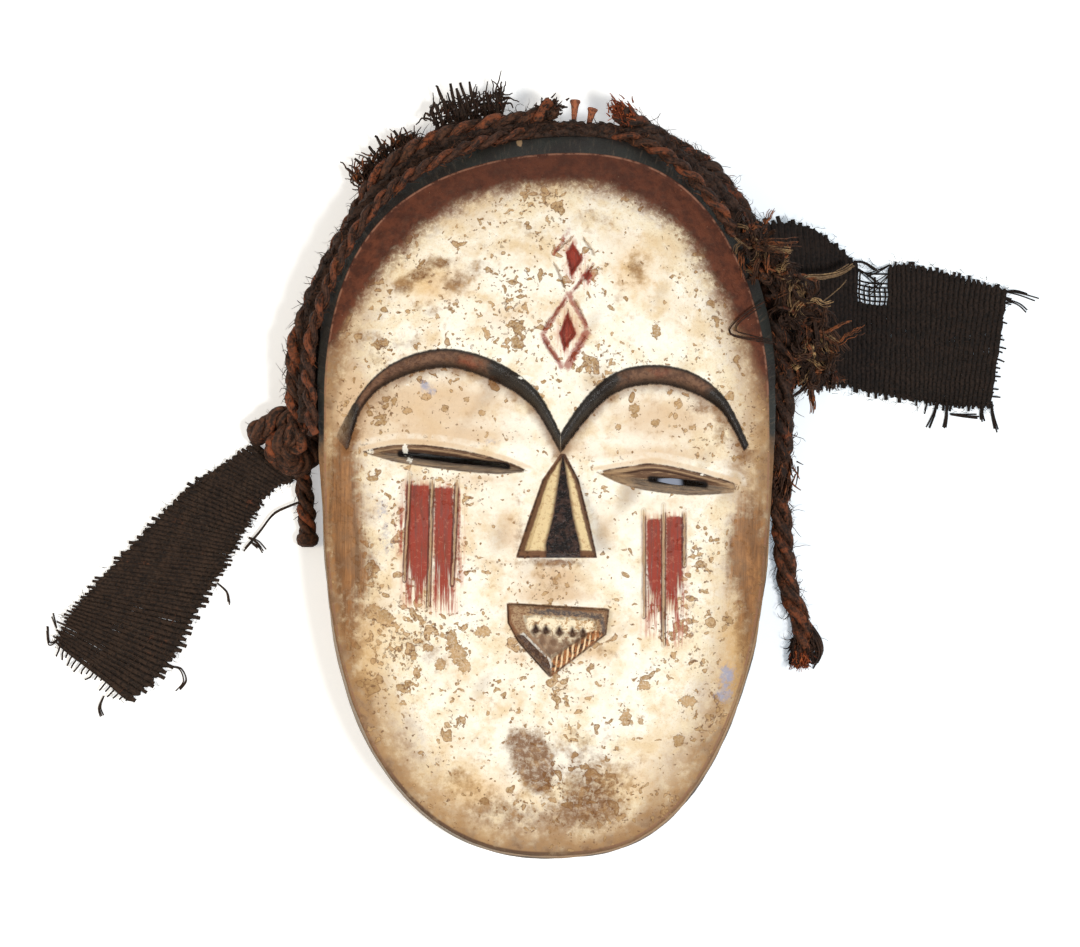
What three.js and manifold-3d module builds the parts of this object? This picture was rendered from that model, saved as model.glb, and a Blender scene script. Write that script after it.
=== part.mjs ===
import * as THREE from 'three';
import { mergeVertices } from 'three/addons/utils/BufferGeometryUtils.js';
import Module from 'manifold-3d';

// A Vuvi mask with its ropes and cloth, lying on its back with the face up. Millimetres.
// X runs across the face, Y to the crown of the head and Z up from the floor.
// Until the last lines the origin is on the floor, below the widest line of the face.

// Outline of the face: a squared ellipse, taller below its widest line than above it
const halfWidth = 95.5;
const heightAbove = 102;
const heightBelow = 200;
const powerAbove = 2.15;
const powerBelow = 2.5;
const lean = 5.5; // drift of the crown and the chin to the right
// Hand-cut unevenness of the outline, as waves about the rim: [cosine, sine] for 0, 1, 2 ... turns
const rimWaves = [
  [0.4, 0], [-1.22, 0.09], [0.22, 0.76],
  [0.31, -0.77], [-0.88, -0.61], [0.32, -0.47],
];

// Depth of the mask and the form of its front
const edgeHeight = 40; // floor to the edge of the face
const crown = 16; // rise of the face from its edge to its middle
const crownPower = 1.4;
const blendSpan = 60; // where the two outline powers pass into each other
const faceColumns = 44;
const rowsBelowBrow = 17;
const rowsAboveBrow = 7;
const ledgeRows = 2; // rows over the brow ledge itself
const footLimits = [0.3, 0.8]; // where along a column the foot of the brow may lie
const topLimits = [0.34, 0.86];
const leastLedge = 0.03;

// Dark bevelled collar round the top, the side wall and the flat back rim
const collarWidth = 8.2;
const collarDrop = 9;
const collarStart = -0.2; // sine of the angle where the collar runs out
const edgeBevel = 1.2;
const rebateDepth = 3; // step under the collar, where the ropes sit
const rebateDrop = 4;
const rebateStart = -0.1; // sine of the angle where the rebate runs out
const rebateFull = 0.3;
const lowerFlare = 6.5; // how far the chin's side wall leans out to the floor

// The hollow behind the face: [share of the outline, height], then shares under the face
const hollowWall = [[0.955, -2], [0.9, 24]];
const hollowCeiling = [0.8, 0.55, 0.28];
const shellThickness = 13;
const hollowSides = 56;
const hollowCentre = new THREE.Vector2(2, -45);

// Brow ledges: the forehead stands stepDepth above the eyes. [x, y] along each edge
const browMeetX = 5.3;
const browTopLeft = [
  [-91.2, -19.8], [-79.3, -0.3], [-64.9, 12], [-44, 17.3], [-22.5, 12], [-5.1, -0.3], [5.3, -18.6],
];
const browTopRight = [
  [5.3, -18.6], [16.1, -3.3], [28.8, 7.2], [45, 10.4], [62, 7], [76, -4], [86.4, -24.5],
];
const browFootLeft = [
  [-86, -26], [-79, -7], [-66, 4], [-44, 9.4], [-24, 4], [-6.8, -7.1], [5.3, -27],
];
const browFootRight = [
  [5.3, -27], [18.6, -10.1], [30, -0.8], [45, 2.3], [60, -0.6], [74, -9], [84, -26],
];
const stepDepth = 4.6;
const browSwell = 1.1; // roundness of the ledge
const browFade = [62, 90]; // distance from the middle where the ledge starts and ends fading
const browFadeCentre = -1;
const cheekReach = 112; // length over which the cheeks come back up to the dome

// Eyes: lid edges and the slit between them as [x, y], from the left tip to the right tip
const leftEye = {
  upper: [[-79, -26.4], [-63, -23.4], [-40, -25.4], [-20, -30.1], [-8.5, -34.6]],
  lower: [[-79, -26.7], [-64, -31], [-40, -34.4], [-22, -35.9], [-8.5, -34.9]],
  slit: [[-79, -26.5], [-62.5, -27.4], [-40, -30], [-18, -32.5], [-8.5, -34.7]],
  open: [-63, -17.5],
};
const rightEye = {
  upper: [[20.8, -35], [32.7, -33], [46, -31.7], [64, -35.4], [80, -40]],
  lower: [[20.8, -35.4], [33.5, -41], [48, -43.8], [63, -45], [80, -43.8]],
  slit: [[20.8, -35.2], [33.5, -37.2], [48, -38.6], [64, -40.2], [80, -42]],
  open: [44, 67],
};
const lidDepth = 4.2;
const lidFullness = 0.6; // how soon the lids reach their full depth from a tip
const slitHalfHeight = 1.1;
const slitFullness = 0.7;
const tipDepth = 0.3;
const tipHalfHeight = 0.15;
const eyeStations = 12;

// Nose: from the bridge down, [y, left foot, left edge, stripe left, stripe right, right edge,
// right foot, rise over the face]
const noseStations = [
  [-28.4, 5.7, 5.9, 6.1, 6.5, 6.7, 6.9, 0.6],
  [-38.5, -1.7, 0.6, 4.8, 8.0, 11.4, 12.4, 4.2],
  [-54, -7.2, -3.8, 2.4, 10.6, 14.9, 16.2, 8.6],
  [-69.4, -12.7, -8.2, -0.6, 13.5, 18.6, 19.9, 12.6],
];
const noseShoulder = 0.9; // rise of the front's outer edges, as a share of its middle stripe
const noseUndercut = 1.2;

// Mouth: a raised wedge with a sunk field of cut teeth
const mouthCorners = [
  [-16.9, -91.3], [-16.5, -99.3], [-12.3, -107], [0.8, -121.7], [24, -104], [25.3, -93.8],
];
const mouthTip = 3; // which corner the height of the wedge is taken at
const mouthRise = 5.2;
const mouthBevel = 1.4;
const fieldCorners = [
  [-11.5, -96.3], [-9.4, -103.2], [1.4, -114.6], [19.8, -102.6], [21, -98.6],
];
const fieldDepth = 1.3;
const toothCuts = {
  count: 5, first: [-5.2, -99.6], last: [15.8, -101.4], width: 3, length: 4.6, depth: 1.2,
};

// Forehead lozenges, [x, y] of the top, right, bottom and left corners: band and sunk centre
const lozenges = [
  {
    band: [[13.1, 66.2], [19.9, 55.2], [9.3, 41.4], [2.5, 56.5]],
    centre: [[10.6, 62.8], [15.2, 55.6], [9.7, 47.1], [7.2, 58.6]],
  },
  {
    band: [[9.3, 39.6], [16.5, 25.1], [6.7, 10.7], [-2.2, 23.4]],
    centre: [[8.4, 33.6], [12.3, 23.4], [6.7, 15.8], [4.6, 23.8]],
  },
];
const lozengeGroove = 1.5;
const lozengeGrooveDepth = 1.1;
const grooveEnds = [1, 2.5]; // how far a groove's inner and outer side stop short of the corners
const lozengeDepth = 1.8;

// Cheek marks: three cut lines on each cheek, [x, y] of both ends
const cheekLines = [
  [[-59, -35.5], [-61.2, -81.4]],
  [[-49.3, -38.1], [-51, -92.8]],
  [[-38.7, -38.5], [-40.8, -83.1]],
  [[40.7, -51.2], [40.7, -96.7]],
  [[49.2, -49.1], [49.2, -109]],
  [[58.1, -52.5], [58.1, -75]],
];
const cheekLineWidth = 1.9;
const cheekLineDepth = 1.2;
const cheekLineStations = 8;
const cheekLineTip = 0.15; // width left at the tips, as a share
const cheekLineRun = 6; // the full width is reached at a sixth of the length

// Ropes, placed on the rim: [angle in degrees, distance beyond the collar, height over its lip]
const ropeRadius = 4.8;
const ropeSides = 10;
const ropeStep = 14;
const freeEndStep = 4 * ropeRadius;
const leftRopeStations = [
  [91.5, 17, -4], [93.5, 14, -6], [97, 10.8, -8], [104, 9.4, -8.5], [113, 9.9, -8.5], [123, 9.9, -9],
  [130, 8.7, -9.5], [136, 5, -10.5], [142, 3.2, -11], [150, 3.2, -11], [158, 4.8, -10.5],
  [165, 7.4, -9.5], [171, 9.7, -9], [178, 10.3, -12], [183.5, 10, -17],
];
const rightRopeStations = [
  [79, 16.5, -4], [77, 12.5, -6.5], [72, 9, -8.5], [66, 6.4, -9.5], [58, 7, -9.5], [50, 7, -9.5],
  [42, 6.4, -10], [34, 5.8, -10.5], [24, 5.2, -11], [13, 5.4, -12], [3, 6, -14], [-4.6, 5.9, -16.2],
];
const thinRopeRadius = 3;
const thinRopeSides = 8;
const thinRopeStep = 9;
const thinRopeStations = [
  [183, 2.2, 3.4], [176, 3.9, 1.6], [170, 3.7, 1.8], [163, 1.4, 4.4], [155, -0.2, 6], [147, -1.3, 7.3],
  [139, -1, 7], [130, -0.2, 6.2], [120, 0.2, 5.8], [110, 1.2, 4.6], [101, 2.8, 2.8], [92, 4.4, 1.2],
  [84, 3.9, 1.6], [74, 3, 2.6], [65, 0.2, 5.8], [56, -1.5, 7.6], [47, -2.6, 8.8], [40, -2.4, 8.6],
  [37.5, -1.2, 8],
];

// Knot of the left rope: lumps as [centre, radii], and the short end that comes out of it
const knotLumps = [
  [[-113.5, -22, 12.2], [9, 13.5, 9.4]],
  [[-127.5, -17, 9.8], [7.6, 8, 7.4]],
  [[-119.5, -14, 11.5], [8, 6, 7]],
];
const knotLead = [-112, -19, 15];
const lumpSegments = [12, 8];
const shortEndRadius = 4.1;
const shortEndRoute = [
  [-110, -24, 10], [-108, -34, 6.6], [-107, -44, 4.7], [-106.4, -54, 4.5], [-105.6, -64, 4.6],
];
const shortEndKnob = [[-105.9, -64.5, 5.2], [4.9, 6, 4.9]];

// Free end of the right rope, from the side of the mask down to the floor
const freeEndRoute = [
  [102.9, -28.9, 20.4], [103, -34, 18.4], [103, -40, 15.6], [103, -46, 12.6], [103.1, -52, 9.8],
  [103.3, -58, 7.5], [103.6, -64, 6], [104, -70, 5.3], [104.6, -76, 5.1], [105.4, -82, 5.1],
  [106.7, -88, 5.1], [108.6, -93.5, 5.1], [110.8, -98.5, 5.1], [112.2, -104, 5.1], [112.5, -110, 5.1],
  [111.6, -116, 5.1],
];

// Tuft of loose fibre at the right end of the thin rope: [centre, half width, half thickness]
const tuftStations = [
  [[83, 67, 42.6], 2.8, 2.4], [[92.5, 57.4, 40.8], 6, 3], [[102.5, 46.4, 38], 8.4, 3.4],
  [[110, 34.4, 34], 9.4, 3.6], [[114.6, 22, 29], 9.2, 3.4], [[116.8, 10, 23.4], 8, 2.8],
  [[117.4, 0, 19], 5.6, 1.8],
];
const tuftSides = 10;

// Cloth strips, as matching points on two long edges, [x, y, height of the underside]
const clothThickness = 2.2;
const clothRows = 5;
const leftClothUpper = [
  [-129.6, -28.4, 0], [-146, -34.6, 0], [-158, -41.7, 0.3], [-175.6, -59.8, 0.8], [-188.9, -73.9, 0.3],
  [-202.1, -88.1, 0], [-212.5, -100.5, 0.6], [-217, -113, 1.6],
];
const leftClothLower = [
  [-110.6, -37.4, 0], [-122.5, -43.5, 0], [-130, -54, 0.6], [-138.1, -67.3, 0.3], [-145, -79, 0],
  [-156, -97, 0.3], [-167.7, -119.4, 0.6], [-186.7, -138, 1.2],
];
const rightClothUpper = [
  [94, 74, 11], [111, 73, 7.5], [122, 67.5, 4.5], [133, 58, 2], [139, 52, 1], [150, 43, 0.4],
  [153.5, 55, 0.4], [160, 56, 0.2], [181, 51, 0], [203.5, 44.5, 1.6],
];
const rightClothLower = [
  [109.6, 3.3, 11], [117, 3.3, 7], [124, 3.3, 4], [133, 3.1, 1.6], [140, 1, 0.6], [148, -0.8, 0],
  [154, -2, 0], [160, -2.6, 0], [176, -5.5, 0], [196, -6.5, 0.8],
];
const rightClothTuck = [[43, 3.4, 13], [4, 4.4, 13]]; // [angle, beyond the collar, height] of its tucked edge

// Frayed cloth scraps under the ropes: outer edge as [angle, beyond the collar]
const uprightScrapEdge = [
  [103, 15], [105, 24], [107, 18], [109, 29], [111, 20], [113, 29], [114.5, 21], [117, 17],
];
const frayedScrapEdge = [[121, 15], [123.5, 20], [125, 16], [127.5, 21], [129, 15], [132, 17], [135, 9]];
const scrapInner = 1.2; // distance of the tucked edge beyond the collar
const scrapHeights = [9.5, 15]; // underside at the wall and at the outer edge
const scrapRows = 2;

// Nails in the wall at the crown: [angle, length left standing out, tilt]
const nails = [[87.2, 12.4, 0.02], [82.2, 10.6, 0.12]];
const nailSides = 10;
const nailShaft = 1;
const nailHead = 2.3;
const nailHeadThickness = 0.9;
const nailDriven = 7;
const nailHeight = 23.5;
const nailFoot = -2; // where the wall's surface lies beside the nails, beyond the collar

const gap = 0.3; // clearance of the nails in their holes
const far = 80; // above everything on the face
const sunk = 6; // how deep the nose and the mouth are rooted in the face
const curveSamples = 60;
const angleStep = 0.01;

const wasm = await Module();
wasm.setup();

const { clamp, lerp: mix } = THREE.MathUtils;
const smooth = (t) => THREE.MathUtils.smoothstep(t, 0, 1);
const vec = (p) => new THREE.Vector3(...p);
const flatMiddle = (corners) => corners
  .reduce((sum, p) => sum.add(new THREE.Vector2(...p)), new THREE.Vector2())
  .divideScalar(corners.length);

// A closed body from corner positions and triangles, turned to face outwards
function body(points, faces) {
  let volume = 0;
  for (const [a, b, c] of faces) {
    volume += points[a].dot(new THREE.Vector3().crossVectors(points[b], points[c]));
  }
  const index = faces.flatMap(([a, b, c]) => (volume < 0 ? [a, c, b] : [a, b, c]));
  const geometry = new THREE.BufferGeometry();
  geometry.setAttribute('position', new THREE.Float32BufferAttribute(points.flatMap((p) => p.toArray()), 3));
  geometry.setIndex(index);
  return geometry;
}

// Triangles of the skin between loops of equal length
function skin(loops) {
  const count = loops[0].length;
  const faces = [];
  for (let i = 0; i + 1 < loops.length; i++) {
    for (let j = 0; j < count; j++) {
      const a = i * count + j;
      const b = i * count + ((j + 1) % count);
      faces.push([a, b, b + count], [a, b + count, a + count]);
    }
  }
  return faces;
}

// Loops joined into a body with flat ends
function loft(loops) {
  const count = loops[0].length;
  const last = (loops.length - 1) * count;
  const faces = skin(loops);
  for (let j = 1; j + 1 < count; j++) {
    faces.push([0, j + 1, j], [last, last + j, last + j + 1]);
  }
  return body(loops.flat(), faces);
}

function toManifold(geometry) {
  const bare = geometry.clone();
  bare.deleteAttribute('normal');
  bare.deleteAttribute('uv');
  const merged = mergeVertices(bare, 1e-4);
  return new wasm.Manifold(new wasm.Mesh({
    numProp: 3,
    vertProperties: new Float32Array(merged.attributes.position.array),
    triVerts: new Uint32Array(merged.index.array),
  }));
}

function fromManifold(solid) {
  const mesh = solid.getMesh();
  const geometry = new THREE.BufferGeometry();
  geometry.setAttribute('position', new THREE.BufferAttribute(mesh.vertProperties, 3));
  geometry.setIndex(new THREE.BufferAttribute(mesh.triVerts, 1));
  return geometry;
}

const joined = (parts) => fromManifold(parts.map(toManifold).reduce((all, one) => all.add(one)));

// The rim

const signedPower = (value, power) => Math.sign(value) * Math.abs(value) ** power;

function evenRim(angle) {
  const above = Math.sin(angle) >= 0;
  const power = 2 / (above ? powerAbove : powerBelow);
  const x = halfWidth * signedPower(Math.cos(angle), power);
  const share = Math.abs(signedPower(Math.sin(angle), power));
  const y = above ? heightAbove * share : -heightBelow * share;
  return new THREE.Vector2(x + lean * share ** 6, y);
}

function rimNormal(angle) {
  const along = evenRim(angle + angleStep).sub(evenRim(angle - angleStep)).normalize();
  return new THREE.Vector2(along.y, -along.x);
}

function rim(angle) {
  let wave = 0;
  rimWaves.forEach(([cosine, sine], turns) => {
    wave += cosine * Math.cos(turns * angle) + sine * Math.sin(turns * angle);
  });
  return evenRim(angle).addScaledVector(rimNormal(angle), wave);
}

// Width of the collar, which runs out on both sides of the face
function collarAt(angle) {
  const share = (Math.sin(angle) - collarStart) / (1 - collarStart);
  return collarWidth * Math.sqrt(clamp(share, 0, 1));
}

const lipOffset = (angle) => Math.max(edgeBevel, collarAt(angle));
const lipHeight = (angle) => edgeHeight - (collarDrop / collarWidth) * lipOffset(angle);

// A point outside the rim: beyond the collar's lip, and over the lip or at a height of its own
function beside(degrees, beyond, over) {
  const angle = THREE.MathUtils.degToRad(degrees);
  const flat = rim(angle).addScaledVector(rimNormal(angle), collarAt(angle) + beyond);
  return new THREE.Vector3(flat.x, flat.y, lipHeight(angle) + over);
}

function besideAt(degrees, beyond, height) {
  const point = beside(degrees, beyond, 0);
  point.z = height;
  return point;
}

// The face

function dome(x, y) {
  const reach = y > 0 ? heightAbove : heightBelow;
  const power = mix(powerBelow, powerAbove, smooth((y + blendSpan) / (2 * blendSpan)));
  const share = Math.abs(y) / reach;
  const out = Math.abs((x - lean * share ** 6) / halfWidth) ** power + share ** power;
  return edgeHeight + crown * (1 - Math.min(1, out) ** crownPower);
}

// y of a curve through [x, y] points, held level past its ends
function curveHeight(points) {
  const curve = new THREE.SplineCurve(points.map((p) => new THREE.Vector2(...p)));
  const samples = curve.getPoints(curveSamples);
  return (x) => {
    const next = samples.findIndex((s) => s.x >= x);
    if (next < 0) return samples.at(-1).y;
    if (next === 0) return samples[0].y;
    const [a, b] = [samples[next - 1], samples[next]];
    return mix(a.y, b.y, (x - a.x) / (b.x - a.x));
  };
}

function pairOf(left, right) {
  const [leftCurve, rightCurve] = [curveHeight(left), curveHeight(right)];
  return (x) => (x < browMeetX ? leftCurve(x) : rightCurve(x));
}

const browTop = pairOf(browTopLeft, browTopRight);
const browFoot = pairOf(browFootLeft, browFootRight);

function browStrength(x) {
  const [from, to] = browFade;
  return 1 - smooth((Math.abs(x - browFadeCentre) - from) / (to - from));
}

function face(x, y) {
  const top = browTop(x);
  const foot = browFoot(x);
  if (y >= top) return dome(x, y);
  if (y > foot) {
    const share = (top - y) / (top - foot);
    return dome(x, y) + browStrength(x) * (browSwell * Math.sin(Math.PI * share) - stepDepth * share ** 1.5);
  }
  return dome(x, y) - browStrength(x) * stepDepth * (1 - smooth((foot - y) / cheekReach));
}

// Angles of the rim's upper and lower half at one face column, the same distance across
const browAngle = Math.acos((browMeetX / halfWidth) ** (powerAbove / 2));

function upperAngle(i) {
  const half = faceColumns / 2;
  return i <= half ? mix(Math.PI, browAngle, i / half) : mix(browAngle, 0, (i - half) / half);
}

function lowerAngle(i) {
  const cosine = signedPower(Math.cos(upperAngle(i)), powerBelow / powerAbove);
  return -Math.acos(clamp(cosine, -1, 1));
}

// Where the rows cross one column, as shares of its length; two rows follow the brow's edges
function rowShares(foot, top) {
  const shareOf = (edge, [low, high]) => {
    const x = mix(foot.x, top.x, (low + high) / 2);
    return clamp((edge(x) - foot.y) / (top.y - foot.y), low, high);
  };
  const footShare = shareOf(browFoot, footLimits);
  const topShare = Math.max(footShare + leastLedge, shareOf(browTop, topLimits));
  const spread = (from, to, rows) => Array.from({ length: rows }, (_, j) => mix(from, to, j / rows));
  return [
    ...spread(0, footShare, rowsBelowBrow),
    ...spread(footShare, topShare, ledgeRows),
    ...spread(topShare, 1, rowsAboveBrow),
    1,
  ];
}

// Outer form of the mask: face columns from rim to rim, then the collar, the wall and a flat back
function blank() {
  const points = [];
  const faces = [];
  const add = (x, y, z) => points.push(new THREE.Vector3(x, y, z)) - 1;
  const rows = rowsBelowBrow + ledgeRows + rowsAboveBrow;
  const columns = [];
  for (let i = 0; i <= faceColumns; i++) {
    const top = rim(upperAngle(i));
    const foot = rim(lowerAngle(i));
    if (i === 0 || i === faceColumns) {
      columns.push(Array(rows + 1).fill(add(top.x, top.y, edgeHeight)));
      continue;
    }
    columns.push(rowShares(foot, top).map((share, j) => {
      const x = mix(foot.x, top.x, share);
      const y = mix(foot.y, top.y, share);
      return add(x, y, j === 0 || j === rows ? edgeHeight : face(x, y));
    }));
  }
  for (let i = 0; i < faceColumns; i++) {
    for (let j = 0; j < rows; j++) {
      const [a, b] = [columns[i][j], columns[i + 1][j]];
      const [c, d] = [columns[i + 1][j + 1], columns[i][j + 1]];
      if (a !== b) faces.push([a, b, c]);
      if (c !== d) faces.push([a, c, d]);
    }
  }
  const edge = [];
  const angles = [];
  for (let i = 0; i <= faceColumns; i++) {
    angles.push(lowerAngle(i));
    edge.push(columns[i][0]);
  }
  for (let i = faceColumns - 1; i > 0; i--) {
    angles.push(upperAngle(i));
    edge.push(columns[i][rows]);
  }
  const ring = (offset, height) => angles.map((angle) => {
    const p = rim(angle).addScaledVector(rimNormal(angle), offset(angle));
    return add(p.x, p.y, height(angle));
  });
  const rebate = (angle) => (
    rebateDepth * smooth((Math.sin(angle) - rebateStart) / (rebateFull - rebateStart))
  );
  const flare = (angle) => lowerFlare * Math.sqrt(Math.max(0, -Math.sin(angle)));
  const rings = [
    edge,
    ring(lipOffset, lipHeight),
    ring((angle) => lipOffset(angle) - rebate(angle), (angle) => lipHeight(angle) - rebateDrop),
    ring((angle) => Math.max(lipOffset(angle) - 1, flare(angle)), () => 0),
  ];
  const count = angles.length;
  const centre = add(hollowCentre.x, hollowCentre.y, 0);
  for (let j = 0; j < count; j++) {
    const next = (j + 1) % count;
    for (let k = 0; k + 1 < rings.length; k++) {
      const [a, b] = [rings[k][j], rings[k][next]];
      const [c, d] = [rings[k + 1][next], rings[k + 1][j]];
      faces.push([a, d, c], [a, c, b]);
    }
    faces.push([rings.at(-1)[j], centre, rings.at(-1)[next]]);
  }
  return body(points, faces);
}

// The hollow behind the face, a cap of loops under the dome
function hollow() {
  const centre = hollowCentre;
  const loop = (share, height) => Array.from({ length: hollowSides }, (_, j) => {
    const p = rim((2 * Math.PI * j) / hollowSides).sub(centre).multiplyScalar(share).add(centre);
    return new THREE.Vector3(p.x, p.y, height ?? dome(p.x, p.y) - shellThickness);
  });
  const loops = [
    ...hollowWall.map(([share, height]) => loop(share, height)),
    ...hollowCeiling.map((share) => loop(share)),
  ];
  const points = loops.flat();
  const faces = skin(loops);
  const top = dome(centre.x, centre.y) - shellThickness;
  const low = points.push(new THREE.Vector3(centre.x, centre.y, hollowWall[0][1])) - 1;
  const high = points.push(new THREE.Vector3(centre.x, centre.y, top)) - 1;
  const last = (loops.length - 1) * hollowSides;
  for (let j = 0; j < hollowSides; j++) {
    const next = (j + 1) % hollowSides;
    faces.push([low, next, j], [high, last + j, last + next]);
  }
  return body(points, faces);
}

// Cutter for a flat-sided pocket that follows the face at a given depth
function pocket(corners, depth) {
  return loft([
    corners.map(([x, y]) => new THREE.Vector3(x, y, face(x, y) - depth)),
    corners.map(([x, y]) => new THREE.Vector3(x, y, far)),
  ]);
}

// Cutter for an almond-shaped eye: two lids that slope down to the slit
function eyeRecess(eye) {
  const [upper, lower, slit] = [eye.upper, eye.lower, eye.slit].map(curveHeight);
  const [from, to] = [eye.upper[0][0], eye.upper.at(-1)[0]];
  const loops = [];
  for (let i = 0; i <= eyeStations; i++) {
    const share = i / eyeStations;
    const x = mix(from, to, share);
    const depth = mix(tipDepth, lidDepth, Math.sin(Math.PI * share) ** lidFullness);
    const at = (y, z) => new THREE.Vector3(x, y, z);
    const [u, l, s] = [upper(x), lower(x), slit(x)];
    loops.push([at(s, face(x, s) - depth), at(l, face(x, l)), at(l, far), at(u, far), at(u, face(x, u))]);
  }
  return loft(loops);
}

function eyeSlit(eye) {
  const slit = curveHeight(eye.slit);
  const loops = [];
  for (let i = 0; i <= eyeStations; i++) {
    const share = i / eyeStations;
    const x = mix(...eye.open, share);
    const half = tipHalfHeight + slitHalfHeight * Math.sin(Math.PI * share) ** slitFullness;
    const y = slit(x);
    const low = edgeHeight - shellThickness;
    const section = [[-half, low], [-half, far], [half, far], [half, low]];
    loops.push(section.map(([dy, z]) => new THREE.Vector3(x, y + dy, z)));
  }
  return loft(loops);
}

function nose() {
  return loft(noseStations.map(([y, footL, edgeL, stripeL, stripeR, edgeR, footR, rise], i) => {
    const base = (x) => face(x, y);
    const back = i === noseStations.length - 1 ? noseUndercut : 0;
    const section = [
      [footL, back, base(footL) - sunk],
      [footL, back, base(footL)],
      [edgeL, 0, base(edgeL) + rise * noseShoulder],
      [stripeL, 0, base(stripeL) + rise],
      [stripeR, 0, base(stripeR) + rise],
      [edgeR, 0, base(edgeR) + rise * noseShoulder],
      [footR, back, base(footR)],
      [footR, back, base(footR) - sunk],
    ];
    return section.map(([x, up, z]) => new THREE.Vector3(x, y + up, z));
  }));
}

const mouthTop = face(...mouthCorners[mouthTip]) + mouthRise;

function mouth() {
  const middle = flatMiddle(mouthCorners);
  const loop = (inset, height) => mouthCorners.map(([x, y]) => {
    const out = new THREE.Vector2(x, y).sub(middle);
    const p = out.setLength(out.length() - inset).add(middle);
    return new THREE.Vector3(p.x, p.y, height);
  });
  return loft([
    loop(0, mouthTop - mouthRise - sunk),
    loop(0, mouthTop - mouthBevel),
    loop(mouthBevel, mouthTop),
  ]);
}

function mouthField() {
  const level = (z) => fieldCorners.map(([x, y]) => new THREE.Vector3(x, y, z));
  return loft([level(mouthTop - fieldDepth), level(far)]);
}

function toothCut(i) {
  const { count, first, last, width, length, depth } = toothCuts;
  const x = mix(first[0], last[0], i / (count - 1));
  const y = mix(first[1], last[1], i / (count - 1));
  const corners = [[x, y], [x - width / 2, y - length], [x + width / 2, y - length]];
  const floor = mouthTop - fieldDepth;
  const level = (z) => corners.map(([cx, cy]) => new THREE.Vector3(cx, cy, z));
  return loft([level(floor - depth), level(mouthTop)]);
}

// Grooves along the outside of a lozenge's four sides
function lozengeGrooves({ band }) {
  const middle = flatMiddle(band);
  return band.map((corner, i) => {
    const a = new THREE.Vector2(...corner);
    const b = new THREE.Vector2(...band[(i + 1) % band.length]);
    const along = b.clone().sub(a).normalize();
    const out = new THREE.Vector2(along.y, -along.x);
    if (out.dot(middle.clone().sub(a)) > 0) out.negate();
    const [inner, outer] = grooveEnds.map((short) => [
      a.clone().addScaledVector(along, short),
      b.clone().addScaledVector(along, -short),
    ]);
    outer.forEach((p) => p.addScaledVector(out, lozengeGroove));
    return pocket([inner[0], inner[1], outer[1], outer[0]].map((p) => p.toArray()), lozengeGrooveDepth);
  });
}

// A cut line with a sharp bottom, running out at both ends
function cutLine([from, to]) {
  const loops = [];
  for (let i = 0; i <= cheekLineStations; i++) {
    const share = i / cheekLineStations;
    const [x, y] = [mix(from[0], to[0], share), mix(from[1], to[1], share)];
    const open = mix(cheekLineTip, 1, Math.min(1, cheekLineRun * share, cheekLineRun * (1 - share)));
    const half = cheekLineWidth * open;
    const z = face(x, y);
    loops.push([
      new THREE.Vector3(x, y, z - cheekLineDepth * open),
      new THREE.Vector3(x + half, y, z + cheekLineDepth),
      new THREE.Vector3(x - half, y, z + cheekLineDepth),
    ]);
  }
  return loft(loops);
}

// Nails stand out from the wall; a nail's own Y axis runs along its shaft to the head

const turned = (profile) => new THREE.LatheGeometry(profile.map((p) => new THREE.Vector2(...p)), nailSides);

function nail(out) {
  const top = out + nailHeadThickness;
  return turned([
    [0, -nailDriven], [nailShaft, -nailDriven], [nailShaft, out], [nailHead, out], [nailHead, top], [0, top],
  ]);
}

function nailHole() {
  const [radius, depth] = [nailShaft + gap, nailDriven + gap];
  return turned([[0, -depth], [radius, -depth], [radius, depth], [0, depth]]);
}

function nailPlace([degrees, , tilt]) {
  const normal = rimNormal(THREE.MathUtils.degToRad(degrees));
  const direction = new THREE.Vector3(normal.x + tilt, normal.y, 0).normalize();
  const turn = new THREE.Quaternion().setFromUnitVectors(new THREE.Vector3(0, 1, 0), direction);
  const foot = besideAt(degrees, nailFoot, nailHeight);
  return new THREE.Matrix4().compose(foot, turn, new THREE.Vector3(1, 1, 1));
}

function carvedMask() {
  const cutters = [
    hollow(),
    ...[leftEye, rightEye].flatMap((eye) => [eyeRecess(eye), eyeSlit(eye)]),
    ...lozenges.flatMap((lozenge) => [pocket(lozenge.centre, lozengeDepth), ...lozengeGrooves(lozenge)]),
    ...cheekLines.map(cutLine),
    ...nails.map((place) => nailHole().applyMatrix4(nailPlace(place))),
  ];
  let solid = toManifold(blank()).add(toManifold(nose()));
  let lips = toManifold(mouth()).subtract(toManifold(mouthField()));
  for (let i = 0; i < toothCuts.count; i++) lips = lips.subtract(toManifold(toothCut(i)));
  solid = solid.add(lips);
  for (const cutter of cutters) solid = solid.subtract(toManifold(cutter));
  return fromManifold(solid);
}

// Ropes

function tube(points, radius, sides, step) {
  const path = new THREE.CatmullRomCurve3(points);
  const turn = (2 * Math.PI) / sides;
  const section = new THREE.Shape();
  section.moveTo(radius, 0);
  for (let j = 1; j < sides; j++) section.lineTo(radius * Math.cos(j * turn), radius * Math.sin(j * turn));
  section.closePath();
  const steps = Math.round(path.getLength() / step);
  return new THREE.ExtrudeGeometry(section, { steps, bevelEnabled: false, extrudePath: path });
}

function thickTube(points, radius = ropeRadius, step = ropeStep) {
  return tube(points, radius, ropeSides, step);
}

function lump([centre, radii]) {
  return new THREE.SphereGeometry(1, ...lumpSegments).scale(...radii).translate(...centre);
}

function leftRope() {
  const held = [...leftRopeStations.map((s) => beside(...s)), vec(knotLead)];
  return joined([
    thickTube(held),
    ...knotLumps.map(lump),
    thickTube(shortEndRoute.map(vec), shortEndRadius),
    lump(shortEndKnob),
  ]);
}

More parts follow.
